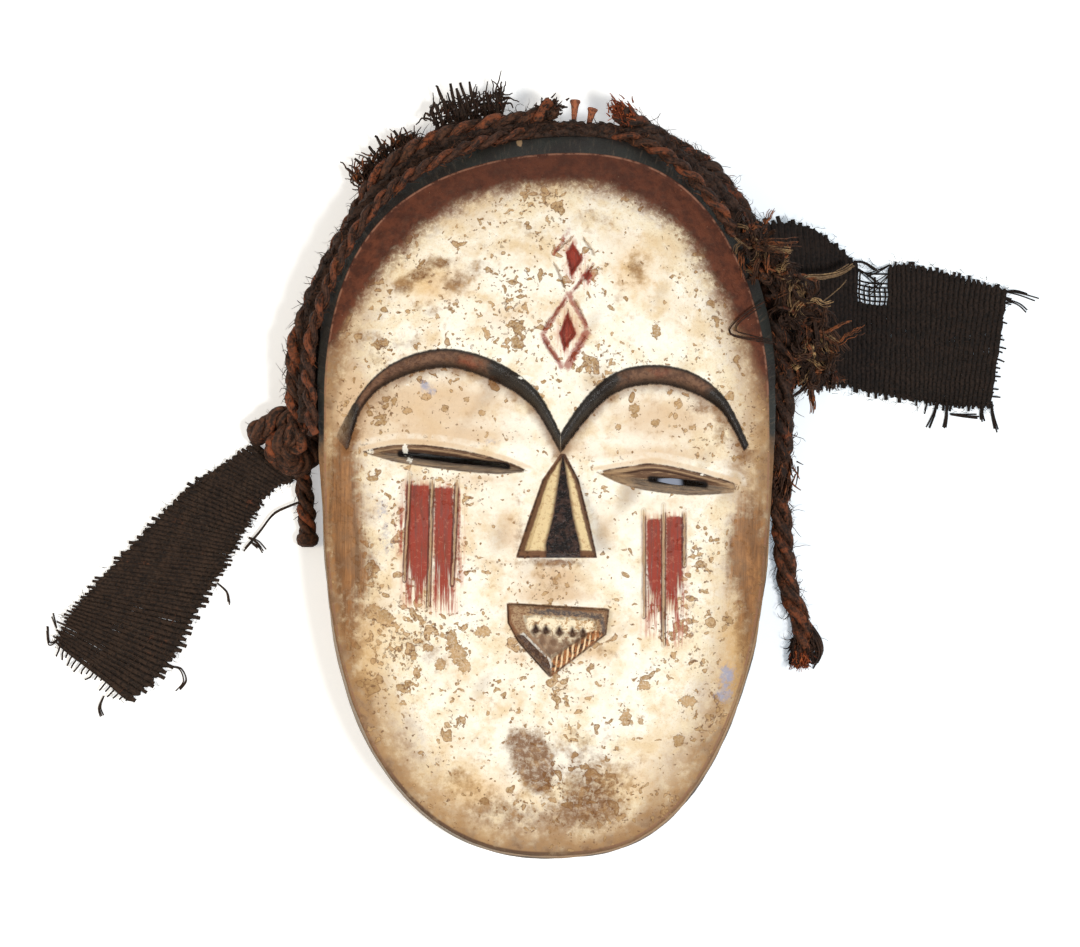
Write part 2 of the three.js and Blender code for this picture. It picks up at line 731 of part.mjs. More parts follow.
function thinRope() {
  return tube(thinRopeStations.map((s) => beside(...s)), thinRopeRadius, thinRopeSides, thinRopeStep);
}

function tuft() {
  return loft(tuftStations.map(([centre, halfAcross, halfThick], i) => {
    const before = vec(tuftStations[Math.max(0, i - 1)][0]);
    const after = vec(tuftStations[Math.min(tuftStations.length - 1, i + 1)][0]);
    const along = after.sub(before).normalize();
    const across = new THREE.Vector3(along.y, -along.x, 0).normalize();
    const up = new THREE.Vector3().crossVectors(across, along).normalize();
    return Array.from({ length: tuftSides }, (_, j) => {
      const angle = (2 * Math.PI * j) / tuftSides;
      return vec(centre)
        .addScaledVector(across, halfAcross * Math.cos(angle))
        .addScaledVector(up, halfThick * Math.sin(angle));
    });
  }));
}

// Cloth: a slab between two edges with matching points. Each loop goes out along the
// underside and back along the upper side, and the ends are closed across the thickness
function sheet(edgeA, edgeB, rows) {
  const lift = new THREE.Vector3(0, 0, clothThickness);
  const loops = edgeA.map((a, i) => {
    const under = Array.from({ length: rows + 1 }, (_, j) => a.clone().lerp(edgeB[i], j / rows));
    const over = under.map((p) => p.clone().add(lift)).reverse();
    return [...under, ...over];
  });
  const count = loops[0].length;
  const last = (loops.length - 1) * count;
  const faces = skin(loops);
  for (let j = 0; j < rows; j++) {
    const [a, b, c, d] = [j, j + 1, count - 2 - j, count - 1 - j];
    faces.push([a, c, b], [a, d, c], [last + a, last + b, last + c], [last + a, last + c, last + d]);
  }
  return body(loops.flat(), faces);
}

function rightCloth() {
  const [upperTuck, lowerTuck] = rightClothTuck.map((tuck) => besideAt(...tuck));
  return sheet(
    [upperTuck, ...rightClothUpper.map(vec)],
    [lowerTuck, ...rightClothLower.map(vec)],
    clothRows,
  );
}

function scrap(edge) {
  const outer = edge.map(([degrees, beyond]) => besideAt(degrees, beyond, scrapHeights[1]));
  const inner = edge.map(([degrees]) => besideAt(degrees, scrapInner, scrapHeights[0]));
  return sheet(outer, inner, scrapRows);
}

// Assembly

const finish = (color, roughness, metalness = 0) => (
  new THREE.MeshStandardMaterial({ color, roughness, metalness })
);
const kaolin = finish(0xe6dabd, 0.7);
const darkRope = finish(0x3a2216, 0.9);
const brownRope = finish(0x4a2a18, 0.9);
const fibre = finish(0x6b4024, 0.9);
const cloth = finish(0x241611, 0.95);
const rust = finish(0x8a4a2c, 0.8, 0.3);

const mask = new THREE.Group();

function addPiece(name, geometry, material) {
  const piece = new THREE.Mesh(geometry, material);
  piece.name = name;
  mask.add(piece);
  return piece;
}

addPiece('wooden_mask', carvedMask(), kaolin);
addPiece('thick_rope_left', leftRope(), darkRope);
addPiece('thick_rope_right', thickTube(rightRopeStations.map((s) => beside(...s))), darkRope);
addPiece('rope_free_end', thickTube(freeEndRoute.map(vec), ropeRadius, freeEndStep), darkRope);
addPiece('thin_rope', thinRope(), brownRope);
addPiece('fibre_tuft', tuft(), fibre);
addPiece('cloth_strip_left', sheet(leftClothUpper.map(vec), leftClothLower.map(vec), clothRows), cloth);
addPiece('cloth_strip_right', rightCloth(), cloth);
addPiece('cloth_scrap_upright', scrap(uprightScrapEdge), cloth);
addPiece('cloth_scrap_frayed', scrap(frayedScrapEdge), cloth);
nails.forEach((place, i) => addPiece(`nail_${i + 1}`, nail(place[1]), rust).applyMatrix4(nailPlace(place)));

// Origin to the middle of the whole mask's footprint, on the floor
const bounds = new THREE.Box3().setFromObject(mask);
mask.position.set(-(bounds.min.x + bounds.max.x) / 2, -(bounds.min.y + bounds.max.y) / 2, -bounds.min.z);

export default mask;
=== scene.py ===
from types import SimpleNamespace
import bmesh
import bpy
import numpy as np
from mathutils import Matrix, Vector


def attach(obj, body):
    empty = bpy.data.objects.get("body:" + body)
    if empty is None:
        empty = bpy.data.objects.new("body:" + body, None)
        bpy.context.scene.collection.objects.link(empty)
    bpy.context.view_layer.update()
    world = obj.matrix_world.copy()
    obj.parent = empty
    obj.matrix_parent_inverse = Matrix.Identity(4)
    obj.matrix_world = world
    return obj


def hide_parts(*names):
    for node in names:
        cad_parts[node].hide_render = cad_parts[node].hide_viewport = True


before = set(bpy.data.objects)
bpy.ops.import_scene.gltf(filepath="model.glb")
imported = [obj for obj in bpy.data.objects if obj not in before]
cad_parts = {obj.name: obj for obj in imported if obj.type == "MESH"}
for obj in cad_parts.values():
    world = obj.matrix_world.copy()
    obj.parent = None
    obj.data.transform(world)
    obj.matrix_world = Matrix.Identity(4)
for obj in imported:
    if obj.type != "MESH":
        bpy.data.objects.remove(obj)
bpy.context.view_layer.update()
print("frame loaded:", len(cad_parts), "nodes")

maskOrigin = np.array([6.75, 36.75, 0.0])  # the mask's own origin, below the widest line of the face, in mm


def toFrame(points):  # from the mask's own millimetres to the shared frame's metres
    return (np.asarray(points, float) + maskOrigin) * 0.001


# Camera: straight above the mask, as the photo was taken
view = {"place": (3.33, 1.01, 1400.0), "lens": 105.5, "sensor": 36.0}

camera = bpy.data.objects.new("camera", bpy.data.cameras.new("camera"))
camera.data.lens = view["lens"]
camera.data.sensor_width = view["sensor"]
camera.location = np.array(view["place"]) * 0.001
camera.data.clip_start = 0.05
bpy.context.scene.collection.objects.link(camera)
bpy.context.scene.camera = camera


# Small helpers for shapes

def smooth(value):  # 0 below 0, 1 above 1, an S curve between
    value = np.clip(value, 0, 1)
    return value * value * (3 - 2 * value)


def mix(low, high, share):
    return low + (high - low) * share


def unit(vectors):
    return vectors / np.maximum(np.linalg.norm(vectors, axis=-1, keepdims=True), 1e-12)


def waves(x, y, sizes, seed):  # sum of sine waves in random directions, about -1 to 1
    random = np.random.default_rng(seed)
    total = 0
    for size in sizes:
        turn, start = random.uniform(0, 2 * np.pi, 2)
        total = total + np.sin(2 * np.pi * (x * np.cos(turn) + y * np.sin(turn)) / size + start)
    return total / np.sqrt(len(sizes))


def splineThrough(points, perSpan=16):  # Catmull-Rom curve through the points
    points = np.asarray(points, float)
    padded = np.concatenate([points[:1], points, points[-1:]])
    t = (np.arange(perSpan) / perSpan)[:, None, None]
    a, b, c, d = padded[:-3], padded[1:-2], padded[2:-1], padded[3:]
    spans = 0.5 * (2 * b + (c - a) * t + (2 * a - 5 * b + 4 * c - d) * t**2
                   + (3 * b - a - 3 * c + d) * t**3)
    return np.concatenate([spans.swapaxes(0, 1).reshape(-1, points.shape[1]), points[-1:]])


def travelledOn(paths):  # distance along each path, from its start
    gaps = np.linalg.norm(np.diff(paths, axis=-2), axis=-1)
    return np.concatenate([np.zeros_like(gaps[..., :1]), np.cumsum(gaps, -1)], -1)


def evenly(line, count):  # the same line as that many points, equally far apart
    travelled = travelledOn(line)
    at = np.linspace(0, travelled[-1], count)
    return np.stack([np.interp(at, travelled, line[:, k]) for k in range(line.shape[1])], 1)


def route(points, spacing):  # smooth path through the points, one point every spacing mm
    line = splineThrough(points)
    return evenly(line, max(4, int(round(travelledOn(line)[-1] / spacing)) + 1))


def addMesh(name, points, faces, materials, marks=None, uv=None):
    mesh = bpy.data.meshes.new(name)
    mesh.from_pydata(points, [], faces)
    for label, values in (marks or {}).items():  # one number for each point
        mesh.attributes.new(label, "FLOAT", "POINT").data.foreach_set("value", values.astype(np.float32))
    if uv is not None:
        mesh.uv_layers.new(name="lay").data.foreach_set("uv", uv.astype(np.float32).ravel())
    for material in materials:
        mesh.materials.append(material)
    mesh.shade_smooth()
    piece = bpy.data.objects.new(name, mesh)
    bpy.context.scene.collection.objects.link(piece)
    return piece


def waver(s, sizes, seed):  # slow waves along a line
    return waves(s, s * 0, sizes, seed)


def bars(paths, wide, high, sides, ridges=0, ridgeDepth=0.0, ridgeLay=12.0):
    # A bar along each path: rings of cos * wide across and sin * high upwards, flat at both ends. Its ridges
    # are 1 + depth cos(ridges * angle + 2 pi s / lay). The map runs along in mm and round from 0 to 1
    count, steps = paths.shape[:2]
    along = unit(np.gradient(paths, axis=1))
    across = unit(np.cross(along, (0, 0, 1)))
    over = np.cross(across, along)
    turn = 2 * np.pi * np.arange(sides) / sides
    travelled = travelledOn(paths)
    ridge = 1 + ridgeDepth * np.cos(ridges * turn + 2 * np.pi * travelled[..., None] / ridgeLay)
    wide = (np.broadcast_to(wide, (count, steps))[..., None] * ridge * np.cos(turn))[..., None]
    high = (np.broadcast_to(high, (count, steps))[..., None] * ridge * np.sin(turn))[..., None]
    rings = paths[:, :, None] + wide * across[:, :, None] + high * over[:, :, None]
    n, k, s = np.meshgrid(np.arange(count), np.arange(steps - 1), np.arange(sides), indexing="ij")
    t = (s + 1) % sides
    start = (n * steps + k) * sides
    quads = np.stack([start + s, start + sides + s, start + sides + t, start + t], -1).reshape(-1, 4)
    ring = np.arange(sides)
    first = np.arange(count)[:, None] * steps * sides
    last = first + (steps - 1) * sides
    faces = quads.tolist() + (first + ring).tolist() + (last + ring[::-1]).tolist()
    low, far = travelled[n, k], travelled[n, k + 1]
    here, there = s / sides, (s + 1) / sides
    uv = np.stack([low, here, far, here, far, there, low, there], -1).reshape(-1, 2)
    ends = np.zeros((2, count, sides, 2))
    ends[1, :, :, 0] = travelled[:, -1:]
    return rings.reshape(-1, 3), faces, np.concatenate([uv, ends.reshape(-1, 2)])


def joined(solids):  # several [points, faces] as one
    points, faces, offset = [], [], 0
    for corners, sides in solids:
        points.append(corners)
        faces += [[corner + offset for corner in side] for side in sides]
        offset += len(corners)
    return np.concatenate(points), faces


def addBars(name, batches, material, replaces=None):
    # One piece from several batches of bars; each bar has a tone of its own, from 0 to 1
    made, tones = [], []
    for batch in batches:
        tone = batch.pop("tone", 0.5)
        made.append(bars(**batch))
        count = len(batch["paths"])
        tones.append(np.repeat(np.broadcast_to(tone, count), len(made[-1][0]) // count))
    points, faces = joined([solid[:2] for solid in made])
    piece = addMesh(name, toFrame(points), faces, [material], {"tone": np.concatenate(tones)},
                    np.concatenate([solid[2] for solid in made]))
    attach(piece, "root")
    if replaces:
        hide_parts(replaces)
    return piece


# Small helpers for materials

def srgb(red, green, blue):  # a screen colour of 0 to 255 as the shader wants it
    part = np.array([red, green, blue]) / 255
    return (*np.where(part < 0.04045, part / 12.92, ((part + 0.055) / 1.055) ** 2.4), 1.0)


def node(tree, kind, inputs=None, **settings):
    made = tree.nodes.new("ShaderNode" + kind)
    for key, value in settings.items():
        setattr(made, key, value)
    for key, value in (inputs or {}).items():
        if isinstance(value, bpy.types.NodeSocket):
            tree.links.new(value, made.inputs[key])
        else:
            made.inputs[key].default_value = value
    return made


def calc(operation, *values):  # in the tree that the sockets among the values belong to
    tree = next(value.id_data for value in values if isinstance(value, bpy.types.NodeSocket))
    return node(tree, "Math", dict(enumerate(values)), operation=operation).outputs[0]


def inTurn(operation, values):
    result = values[0]
    for value in values[1:]:
        result = calc(operation, result, value)
    return result


def times(*values):
    return inTurn("MULTIPLY", values)


def plus(*values):
    return inTurn("ADD", values)


def most(*values):
    return inTurn("MAXIMUM", values)


def minus(value, less):
    return calc("SUBTRACT", value, less)


def swing(value, amount):  # a noise as a shift to both sides of nothing
    return times(minus(value, 0.5), amount)


def between(value, low, high, start=0.0, end=1.0):  # a soft step from low to high
    inputs = {"Value": value, "From Min": low, "From Max": high, "To Min": start, "To Max": end}
    return node(value.id_data, "MapRange", inputs, interpolation_type="SMOOTHSTEP").outputs[0]


def line(value, place, half):  # a thin line where a value passes a place
    return between(calc("ABSOLUTE", minus(value, place)), half, half * 0.3)


def blend(mask, under, over):
    return node(mask.id_data, "Mix", {0: mask, 6: under, 7: over}, data_type="RGBA").outputs[2]


def millimetres(tree, stretch=(1, 1, 1)):  # object coordinates in mm
    place = node(tree, "TexCoord").outputs["Object"]
    return node(tree, "Mapping", {"Vector": place, "Scale": [1000 * s for s in stretch]}).outputs[0]


def scaled(place, size):
    return node(place.id_data, "VectorMath", {0: place, "Scale": size}, operation="SCALE").outputs[0]


def noise(place, size, detail=3.0, roughness=0.55, distortion=0.0):
    inputs = {"Vector": place, "Scale": 1 / size, "Detail": detail, "Roughness": roughness,
              "Distortion": distortion}
    return node(place.id_data, "TexNoise", inputs).outputs["Fac"]


def mark(tree, name):
    return node(tree, "Attribute", attribute_name=name).outputs["Fac"]


def bumped(height, **sizes):
    return node(height.id_data, "Bump", {"Height": height, **sizes}).outputs[0]


def newMaterial(name):
    material = bpy.data.materials.new(name)
    material.use_nodes = True
    material.node_tree.nodes.clear()
    return material, material.node_tree


def surface(tree, colour, roughness, shine, **inputs):
    shader = node(tree, "BsdfPrincipled", {"Base Color": colour, "Roughness": roughness,
                                           "Specular IOR Level": shine, **inputs})
    node(tree, "OutputMaterial", {"Surface": shader.outputs[0]})


# Effects that several materials share

def newGroup(name, inputs, outputs):
    group = bpy.data.node_groups.new(name, "ShaderNodeTree")
    for label, kind, value in inputs:
        socket = group.interface.new_socket(label, in_out="INPUT", socket_type="NodeSocket" + kind)
        if value is not None:
            socket.default_value = value
    for label, kind in outputs:
        group.interface.new_socket(label, in_out="OUTPUT", socket_type="NodeSocket" + kind)
    return group, group.nodes.new("NodeGroupInput").outputs, group.nodes.new("NodeGroupOutput").inputs


def useGroup(tree, group, inputs):
    return node(tree, "Group", inputs, node_tree=group).outputs


def woodGrainGroup():
    # Fibres along Y: stretched noise at two sizes, and darker lines where their sum is low
    group, given, out = newGroup(
        "woodGrain", [("Size", "Float", 1.0), ("Light", "Color", None), ("Dark", "Color", None)],
        [("Color", "Color"), ("Height", "Float")])
    place = scaled(millimetres(group, (1, 0.07, 0.6)), given["Size"])
    tone = plus(times(noise(place, 4.2, 3, 0.6, 0.6), 0.6), times(noise(place, 0.8, 4, 0.65), 0.4))
    group.links.new(blend(between(tone, 0.36, 0.64), given["Dark"], given["Light"]), out["Color"])
    group.links.new(tone, out["Height"])
    return group


def dustGroup():
    # Pale dust: a patchy noise times small specks
    group, given, out = newGroup("dust", [("Size", "Float", 1.0), ("Amount", "Float", 0.5)],
                                 [("Mask", "Float")])
    place = scaled(millimetres(group), given["Size"])
    patches = between(noise(place, 14, 2), 0.4, 0.7)
    specks = between(noise(place, 0.9, 2, 0.7), 0.55, 0.72)
    group.links.new(times(patches, specks, given["Amount"]), out["Mask"])
    return group


def flakeGroup():
    # Ragged flaked spots: where noise of this Size, raised in areas about 11 and 38 mm wide, passes a limit
    # that falls as Share grows; Rim is the line at their edge
    group, given, out = newGroup("flakes", [("Size", "Float", 3.0), ("Share", "Float", 0.4)],
                                 [("Mask", "Float"), ("Rim", "Float")])
    place = millimetres(group)
    sized = node(group, "VectorMath", {0: place, 1: given["Size"]}, operation="DIVIDE").outputs[0]
    crowd = times(minus(plus(noise(place, 11, 2), noise(place, 38, 2)), 1), 0.4)
    limit = calc("MULTIPLY_ADD", given["Share"], -0.3, 0.74)
    over = minus(plus(noise(sized, 1.0, 1.5, 0.5, 0.25), crowd), limit)
    group.links.new(between(over, -0.008, 0.02), out["Mask"])
    group.links.new(times(between(over, -0.012, 0.006), between(over, 0.036, 0.012)), out["Rim"])
    return group


def fibreStreakGroup():
    # Streaks that run with the strand: noise stretched along the map, tinted by patches and each bar's tone
    group, given, out = newGroup(
        "fibreStreaks", [("Dark", "Color", None), ("Middle", "Color", None), ("Bright", "Color", None),
                         ("Bright Share", "Float", 0.3), ("Streak Size", "Float", 1.0)],
        [("Color", "Color"), ("Height", "Float")])
    lay = node(group, "UVMap", uv_map="lay").outputs[0]
    laid = node(group, "Mapping", {"Vector": lay, "Scale": (0.11, 9.0, 1.0)}).outputs[0]
    along = noise(scaled(laid, given["Streak Size"]), 1.0, 4, 0.65, 0.4)
    place = millimetres(group)
    patch, crust = noise(place, 5.0, 4, 0.7), noise(place, 1.3, 4, 0.7)
    streak = plus(times(along, 0.5), times(crust, 0.5))
    worn = plus(times(patch, 0.75), times(mark(group, "tone"), 0.35), swing(streak, 0.5),
                given["Bright Share"])
    colour = blend(between(streak, 0.4, 0.6), given["Dark"], given["Middle"])
    colour = blend(between(worn, 0.82, 1.02), colour, given["Bright"])
    group.links.new(colour, out["Color"])
    group.links.new(plus(streak, times(patch, 0.8)), out["Height"])
    return group


woodGrain, dust, flakes, fibreStreaks = woodGrainGroup(), dustGroup(), flakeGroup(), fibreStreakGroup()
dustColour = srgb(150, 136, 118)


def fibreMaterial(name, dark, middle, bright, share, streaks=1.0, depth=0.5, dusty=0.1, roughness=0.78):
    material, tree = newMaterial(name)
    streak = useGroup(tree, fibreStreaks, {"Dark": srgb(*dark), "Middle": srgb(*middle),
                                           "Bright": srgb(*bright), "Bright Share": share,
                                           "Streak Size": streaks})
    powder = useGroup(tree, dust, {"Size": 1.3, "Amount": dusty})
    colour = blend(powder["Mask"], streak["Color"], dustColour)
    rough = between(streak["Height"], 0.3, 0.7, roughness + 0.08, roughness - 0.1)
    bump = bumped(streak["Height"], Distance=depth * 0.001, Strength=0.9)
    surface(tree, colour, rough, 0.22, Normal=bump)
    return material


# Dark, middle and bright colour, share of bright, streaks, their depth in mm, dust and roughness
darkFibre = fibreMaterial("dark rope fibre", (30, 21, 16), (70, 47, 35), (122, 60, 34), 0.12, 1.0, 1.0, 0.12)
warmFibre = fibreMaterial("warm rope fibre", (34, 22, 15), (88, 55, 37), (132, 70, 40), 0.23, 1.0, 1.0, 0.12)
orangeFibre = fibreMaterial("orange fray", (72, 34, 20), (142, 66, 34), (186, 98, 52), 0.25, 1.0, 0.3)
brownFibre = fibreMaterial("brown plied fibre", (30, 19, 14), (80, 50, 35), (122, 66, 40), 0.2, 1.4, 0.8)
looseFibre = fibreMaterial("loose fibre", (34, 22, 16), (86, 56, 38), (146, 84, 48), 0.22, 1.0, 0.2)
paleFibre = fibreMaterial("pale fibre", (92, 70, 50), (140, 112, 80), (186, 150, 104), 0.2, 1.0, 0.2)
wovenFibre = fibreMaterial("dark woven cloth", (22, 15, 11), (56, 40, 29), (92, 52, 32), 0.08, 1.2, 0.3, 0.1,
                           0.88)
blackFibre = fibreMaterial("near black woven cloth", (14, 10, 8), (40, 28, 21), (70, 40, 27), 0.04, 1.2, 0.3,
                           0.06, 0.88)


# Ropes, hairs and frayed fibres

def strands(path, diameter, pitch, seed, count=3, ends=(1.0, 1.0)):
    # Strand k turns round the path at r D: path + r D (cos a across + sin a up), a = 2 pi (s / pitch
    # + k / count). Its radius is (0.5 - r) D, uneven by slow waves; ends gives the thickness left at the
    # first and last point
    travelled = travelledOn(path)
    along = unit(np.gradient(path, axis=0))
    across = unit(np.cross(along, (0, 0, 1)))
    over = np.cross(across, along)
    turn = 2 * np.pi * travelled / pitch + 0.35 * waver(travelled, (41, 29, 17), seed)
    first, last = (np.sqrt(np.clip(away / 4, 0, 1)) for away in (travelled, travelled[-1] - travelled))
    taper = mix(ends[0], 1, first) * mix(ends[1], 1, last)
    paths, radii = [], []
    ring = {2: 0.25, 3: 0.268}[count]
    for k in range(count):
        angle = turn + 2 * np.pi * k / count
        lift = diameter * ring * taper * (1 + 0.08 * waver(travelled, (23, 13), seed + 7 + k))
        paths.append(path + lift[:, None] * (np.cos(angle)[:, None] * across + np.sin(angle)[:, None] * over))
        uneven = 1 + 0.12 * waver(travelled, (19, 11, 7, 3.5), seed + k)
        radii.append(diameter * (0.5 - ring) * taper * uneven)
    return np.array(paths), np.array(radii)


def ropeBars(path, diameter, pitch, seed, count=3, ends=(1.0, 1.0), sides=20):
    paths, radii = strands(path, diameter, pitch, seed, count, ends)
    tones = np.random.default_rng(seed).uniform(0, 1, len(paths))
    return {"paths": paths, "wide": radii, "high": radii * 0.96, "sides": sides, "tone": tones, "ridges": 4,
            "ridgeDepth": 0.06, "ridgeLay": -pitch * 0.55}


def fibres(roots, aims, lengths, thickness, seed, steps=6, curl=0.35, floor=None, sides=3):
    # Each fibre turns in a plane of its own: it goes along cos a * aim + sin a * side, where
    # a = curl * (turn * t + a random walk), and thins to its tip
    random = np.random.default_rng(seed)
    count = len(roots)
    t = np.linspace(0, 1, steps)
    side = unit(np.cross(aims, random.normal(0, 1, (count, 3))))
    turn = random.normal(0, 2.6, (count, 1)) * t
    angle = curl * (turn + np.cumsum(random.normal(0, 0.45, (count, steps)), 1))
    going = np.cos(angle)[..., None] * np.asarray(aims)[:, None] + np.sin(angle)[..., None] * side[:, None]
    going[:, 0] = 0
    paths = np.asarray(roots)[:, None] + np.cumsum(going, 1) * np.reshape(lengths, (-1, 1, 1)) / (steps - 1)
    if floor is not None:
        paths[..., 2] = np.maximum(paths[..., 2], floor)
    radius = random.uniform(*thickness, (count, 1)) * (1 - 0.55 * t)
    return {"paths": paths, "wide": radius, "high": radius, "sides": sides,
            "tone": random.uniform(0, 1, count)}


def ropeHairs(path, diameter, count, length, seed, floor=None, thickness=(0.1, 0.26)):  # all along a rope
    random = np.random.default_rng(seed)
    at = random.uniform(0.02, 0.98, count) * (len(path) - 1)
    k = at.astype(int)
    base = mix(path[k], path[np.minimum(k + 1, len(path) - 1)], (at - k)[:, None])
    along = unit(np.gradient(path, axis=0))[k]
    across = unit(np.cross(along, (0, 0, 1)))
    over = np.cross(across, along)
    turn = random.uniform(-0.4, np.pi + 0.4, count)[:, None]
    out = np.cos(turn) * across + np.sin(turn) * over
    roots = base + out * diameter * 0.4
    aims = unit(out * random.uniform(0.1, 0.7, (count, 1)) + along * random.choice([-1, 1], (count, 1)) * 0.9)
    lengths = mix(*length, random.uniform(0, 1, count) ** 3)
    return fibres(roots, aims, lengths, thickness, seed + 1, curl=0.55, floor=floor)


def frayedEnd(path, spread, count, length, seed, thickness=(0.2, 0.45), far=6):  # fibres at a rope's start
    random = np.random.default_rng(seed)
    aim = unit(path[0] - path[4])
    roots = mix(path[0], path[far], random.uniform(0, 1, (count, 1))) + random.normal(0, 2.1, (count, 3))
    aims = unit(aim + random.normal(0, spread, (count, 3)))
    return fibres(roots, aims, random.uniform(*length, count), thickness, seed + 1, curl=0.18)


def likeBars(paths, radius, sides, tone):  # round bars of one thickness
    thick = np.full(paths.shape[:2], radius)
    return {"paths": paths, "wide": thick, "high": thick, "sides": sides, "tone": tone}


# Free end of the right rope: it leaves the mask's side, comes down to the floor and ends in a frayed brush
freeRope = {
    "route": [(101.6, -28.9, 20.4), (101.7, -34, 18.4), (101.8, -40, 15.6), (102, -46, 12.6),
              (102.4, -52, 9.8), (103, -58, 7.5), (103.6, -64, 6), (104, -70, 5.3), (104.6, -76, 5.1),
              (105.4, -82, 5.1), (106.7, -88, 5.1), (108.6, -93.5, 5.1), (110.8, -98.5, 5.1),
              (112.2, -104, 5.1), (112.5, -110, 5.1), (111.6, -116, 5.1)],
    "hook": [(112, -101, 6), (115.5, -105, 6.5), (118.5, -110, 6), (119.5, -115, 4), (118, -119, 1.6)],
    "diameter": 9.6, "pitch": 33.0, "hairs": 420, "brush": 520, "hooked": 26, "heart": 150, "seed": 21,
}


def brushBars(path, random):  # the brush at the rope's end, and the fibres that hook round beside it
    count, hooked = freeRope["brush"], freeRope["hooked"]
    start = path[-1] + (path[-12] - path[-1]) * random.uniform(0, 1, (count, 1))
    side = random.normal(0, 1, (count, 1)).clip(-1.5, 1.5)
    start = start + np.column_stack([side[:, 0] * 2.7, random.normal(0, 0.6, count),
                                     random.normal(0, 1.9, count)])
    aim = unit(np.column_stack([side[:, 0] * 0.18, np.full(count, -1.0), random.normal(-0.05, 0.2, count)]))
    brush = fibres(start, aim, random.uniform(2, 6.5, count), (0.26, 0.55), freeRope["seed"] + 6, curl=0.3,
                   floor=0.4)
    shifts = random.normal(0, 1, (hooked, 1, 3)) * (0.9, 1.3, 0.8)
    hooks = evenly(splineThrough(freeRope["hook"]), 14) + shifts
    hooks[..., 2] = np.maximum(hooks[..., 2], 0.5)
    return [brush, likeBars(hooks, 0.4, 4, random.uniform(0, 1, hooked))]


def heartBars(path, random):  # brighter fibres in the middle of the brush
    count = freeRope["heart"]
    start = path[-1] + random.normal(0, 1, (count, 3)) * (1.7, 1.2, 0.8) + (0, 0, 2.6)
    aim = unit(random.normal(0, 0.3, (count, 3)) * (1, 1, 0.4) + (0, -1, 0))
    return fibres(start, aim, random.uniform(2, 6, count), (0.28, 0.55), freeRope["seed"] + 8, curl=0.3,
                  floor=0.4)


def makeFreeRope():
    path = route(freeRope["route"], 0.8)
    width, seed = freeRope["diameter"], freeRope["seed"]
    rope = addBars("free_rope", [ropeBars(path, width, freeRope["pitch"], seed, ends=(1, 0.8))], warmFibre,
                   "rope_free_end")
    hairs = addBars("free_rope_hairs", [ropeHairs(path, width, freeRope["hairs"], (3, 9), seed, floor=0.3)],
                    looseFibre)
    random = np.random.default_rng(seed + 5)
    end = addBars("free_rope_brush", brushBars(path, random), darkFibre)
    heart = addBars("free_rope_heart", [heartBars(path, random)], orangeFibre)
    length = travelledOn(path)[-1] * 0.001
    tuple(toFrame(path[0]))
    toFrame(path[::8]).tolist() + [toFrame(path[-1]).tolist()]
    print("free rope laid:", round(length * 1000), "mm")


makeFreeRope()


# The mask: a squared ellipse, domed, with a step below the brows. Millimetres from its own origin
maskForm = {
    "halfWidth": 95.5, "heightAbove": 102.0, "heightBelow": 200.0,
    "powerAbove": 2.15, "powerBelow": 2.5, "lean": 5.5,
    "rimWaves": [(0.4, 0), (-1.22, 0.09), (0.22, 0.76), (0.31, -0.77), (-0.88, -0.61), (0.32, -0.47)],
    "edgeHeight": 40.0, "crown": 16.0, "crownPower": 1.4, "blendSpan": 60.0,
    "collarWidth": 8.2, "collarDrop": 9.0, "edgeBevel": 1.2,
    "rebateDepth": 3.0, "rebateDrop": 4.0, "flare": 6.5,
    "shell": 13.0, "hollowCentre": (2.0, -45.0), "frontCentre": (5.3, -50.0),
    "hollowWall": [(0.975, 0.0), (0.958, 0.8), (0.95, 3.0), (0.935, 9.0), (0.92, 16.0), (0.9, 22.0)],
    "hollowFloor": (0.86, 0.8, 0.72, 0.64, 0.56, 0.48, 0.4, 0.32, 0.24, 0.16, 0.08),
    "browsMeet": 5.3, "stepDepth": 4.6, "browSwell": 1.1, "browFade": (62.0, 90.0), "cheekReach": 112.0,
    "turns": 440, "frontRings": 118, "handwork": 0.34, "adzeMarks": 0.5,
}
m = maskForm

browTopLeft = splineThrough([(-91.2, -19.8), (-79.3, -0.3), (-64.9, 12), (-44, 17.3), (-22.5, 12),
                             (-5.1, -0.3), (5.3, -18.6)])
browTopRight = splineThrough([(5.3, -18.6), (16.1, -3.3), (28.8, 7.2), (45, 10.4), (62, 7), (76, -4),
                              (86.4, -24.5)])
browFootLeft = splineThrough([(-86, -26), (-79, -7), (-66, 4), (-44, 9.4), (-24, 4), (-6.8, -7.1),
                              (5.3, -27)])
browFootRight = splineThrough([(5.3, -27), (18.6, -10.1), (30, -0.8), (45, 2.3), (60, -0.6), (74, -9),
                               (84, -26)])


def rimAt(angle, beyond=0.0):
    # x = half width * cos^(2/power), y = height * sin^(2/power), leaning to the right at crown and chin,
    # then moved along its normal by six slow waves and by beyond
    def even(a):
        sine, cosine = np.sin(a), np.cos(a)
        power = 2 / np.where(sine >= 0, m["powerAbove"], m["powerBelow"])
        share = np.abs(sine) ** power
        x = m["halfWidth"] * np.sign(cosine) * np.abs(cosine) ** power + m["lean"] * share**6
        return np.stack([x, np.where(sine >= 0, m["heightAbove"], -m["heightBelow"]) * share], -1)
    along = unit(even(angle + 0.01) - even(angle - 0.01))
    wave = sum(c * np.cos(k * angle) + s * np.sin(k * angle) for k, (c, s) in enumerate(m["rimWaves"]))
    normal = np.stack([along[..., 1], -along[..., 0]], -1)
    return even(angle) + normal * (wave + beyond)[..., None]


def collarAt(angle):
    return m["collarWidth"] * np.sqrt(np.clip((np.sin(angle) + 0.2) / 1.2, 0, 1))


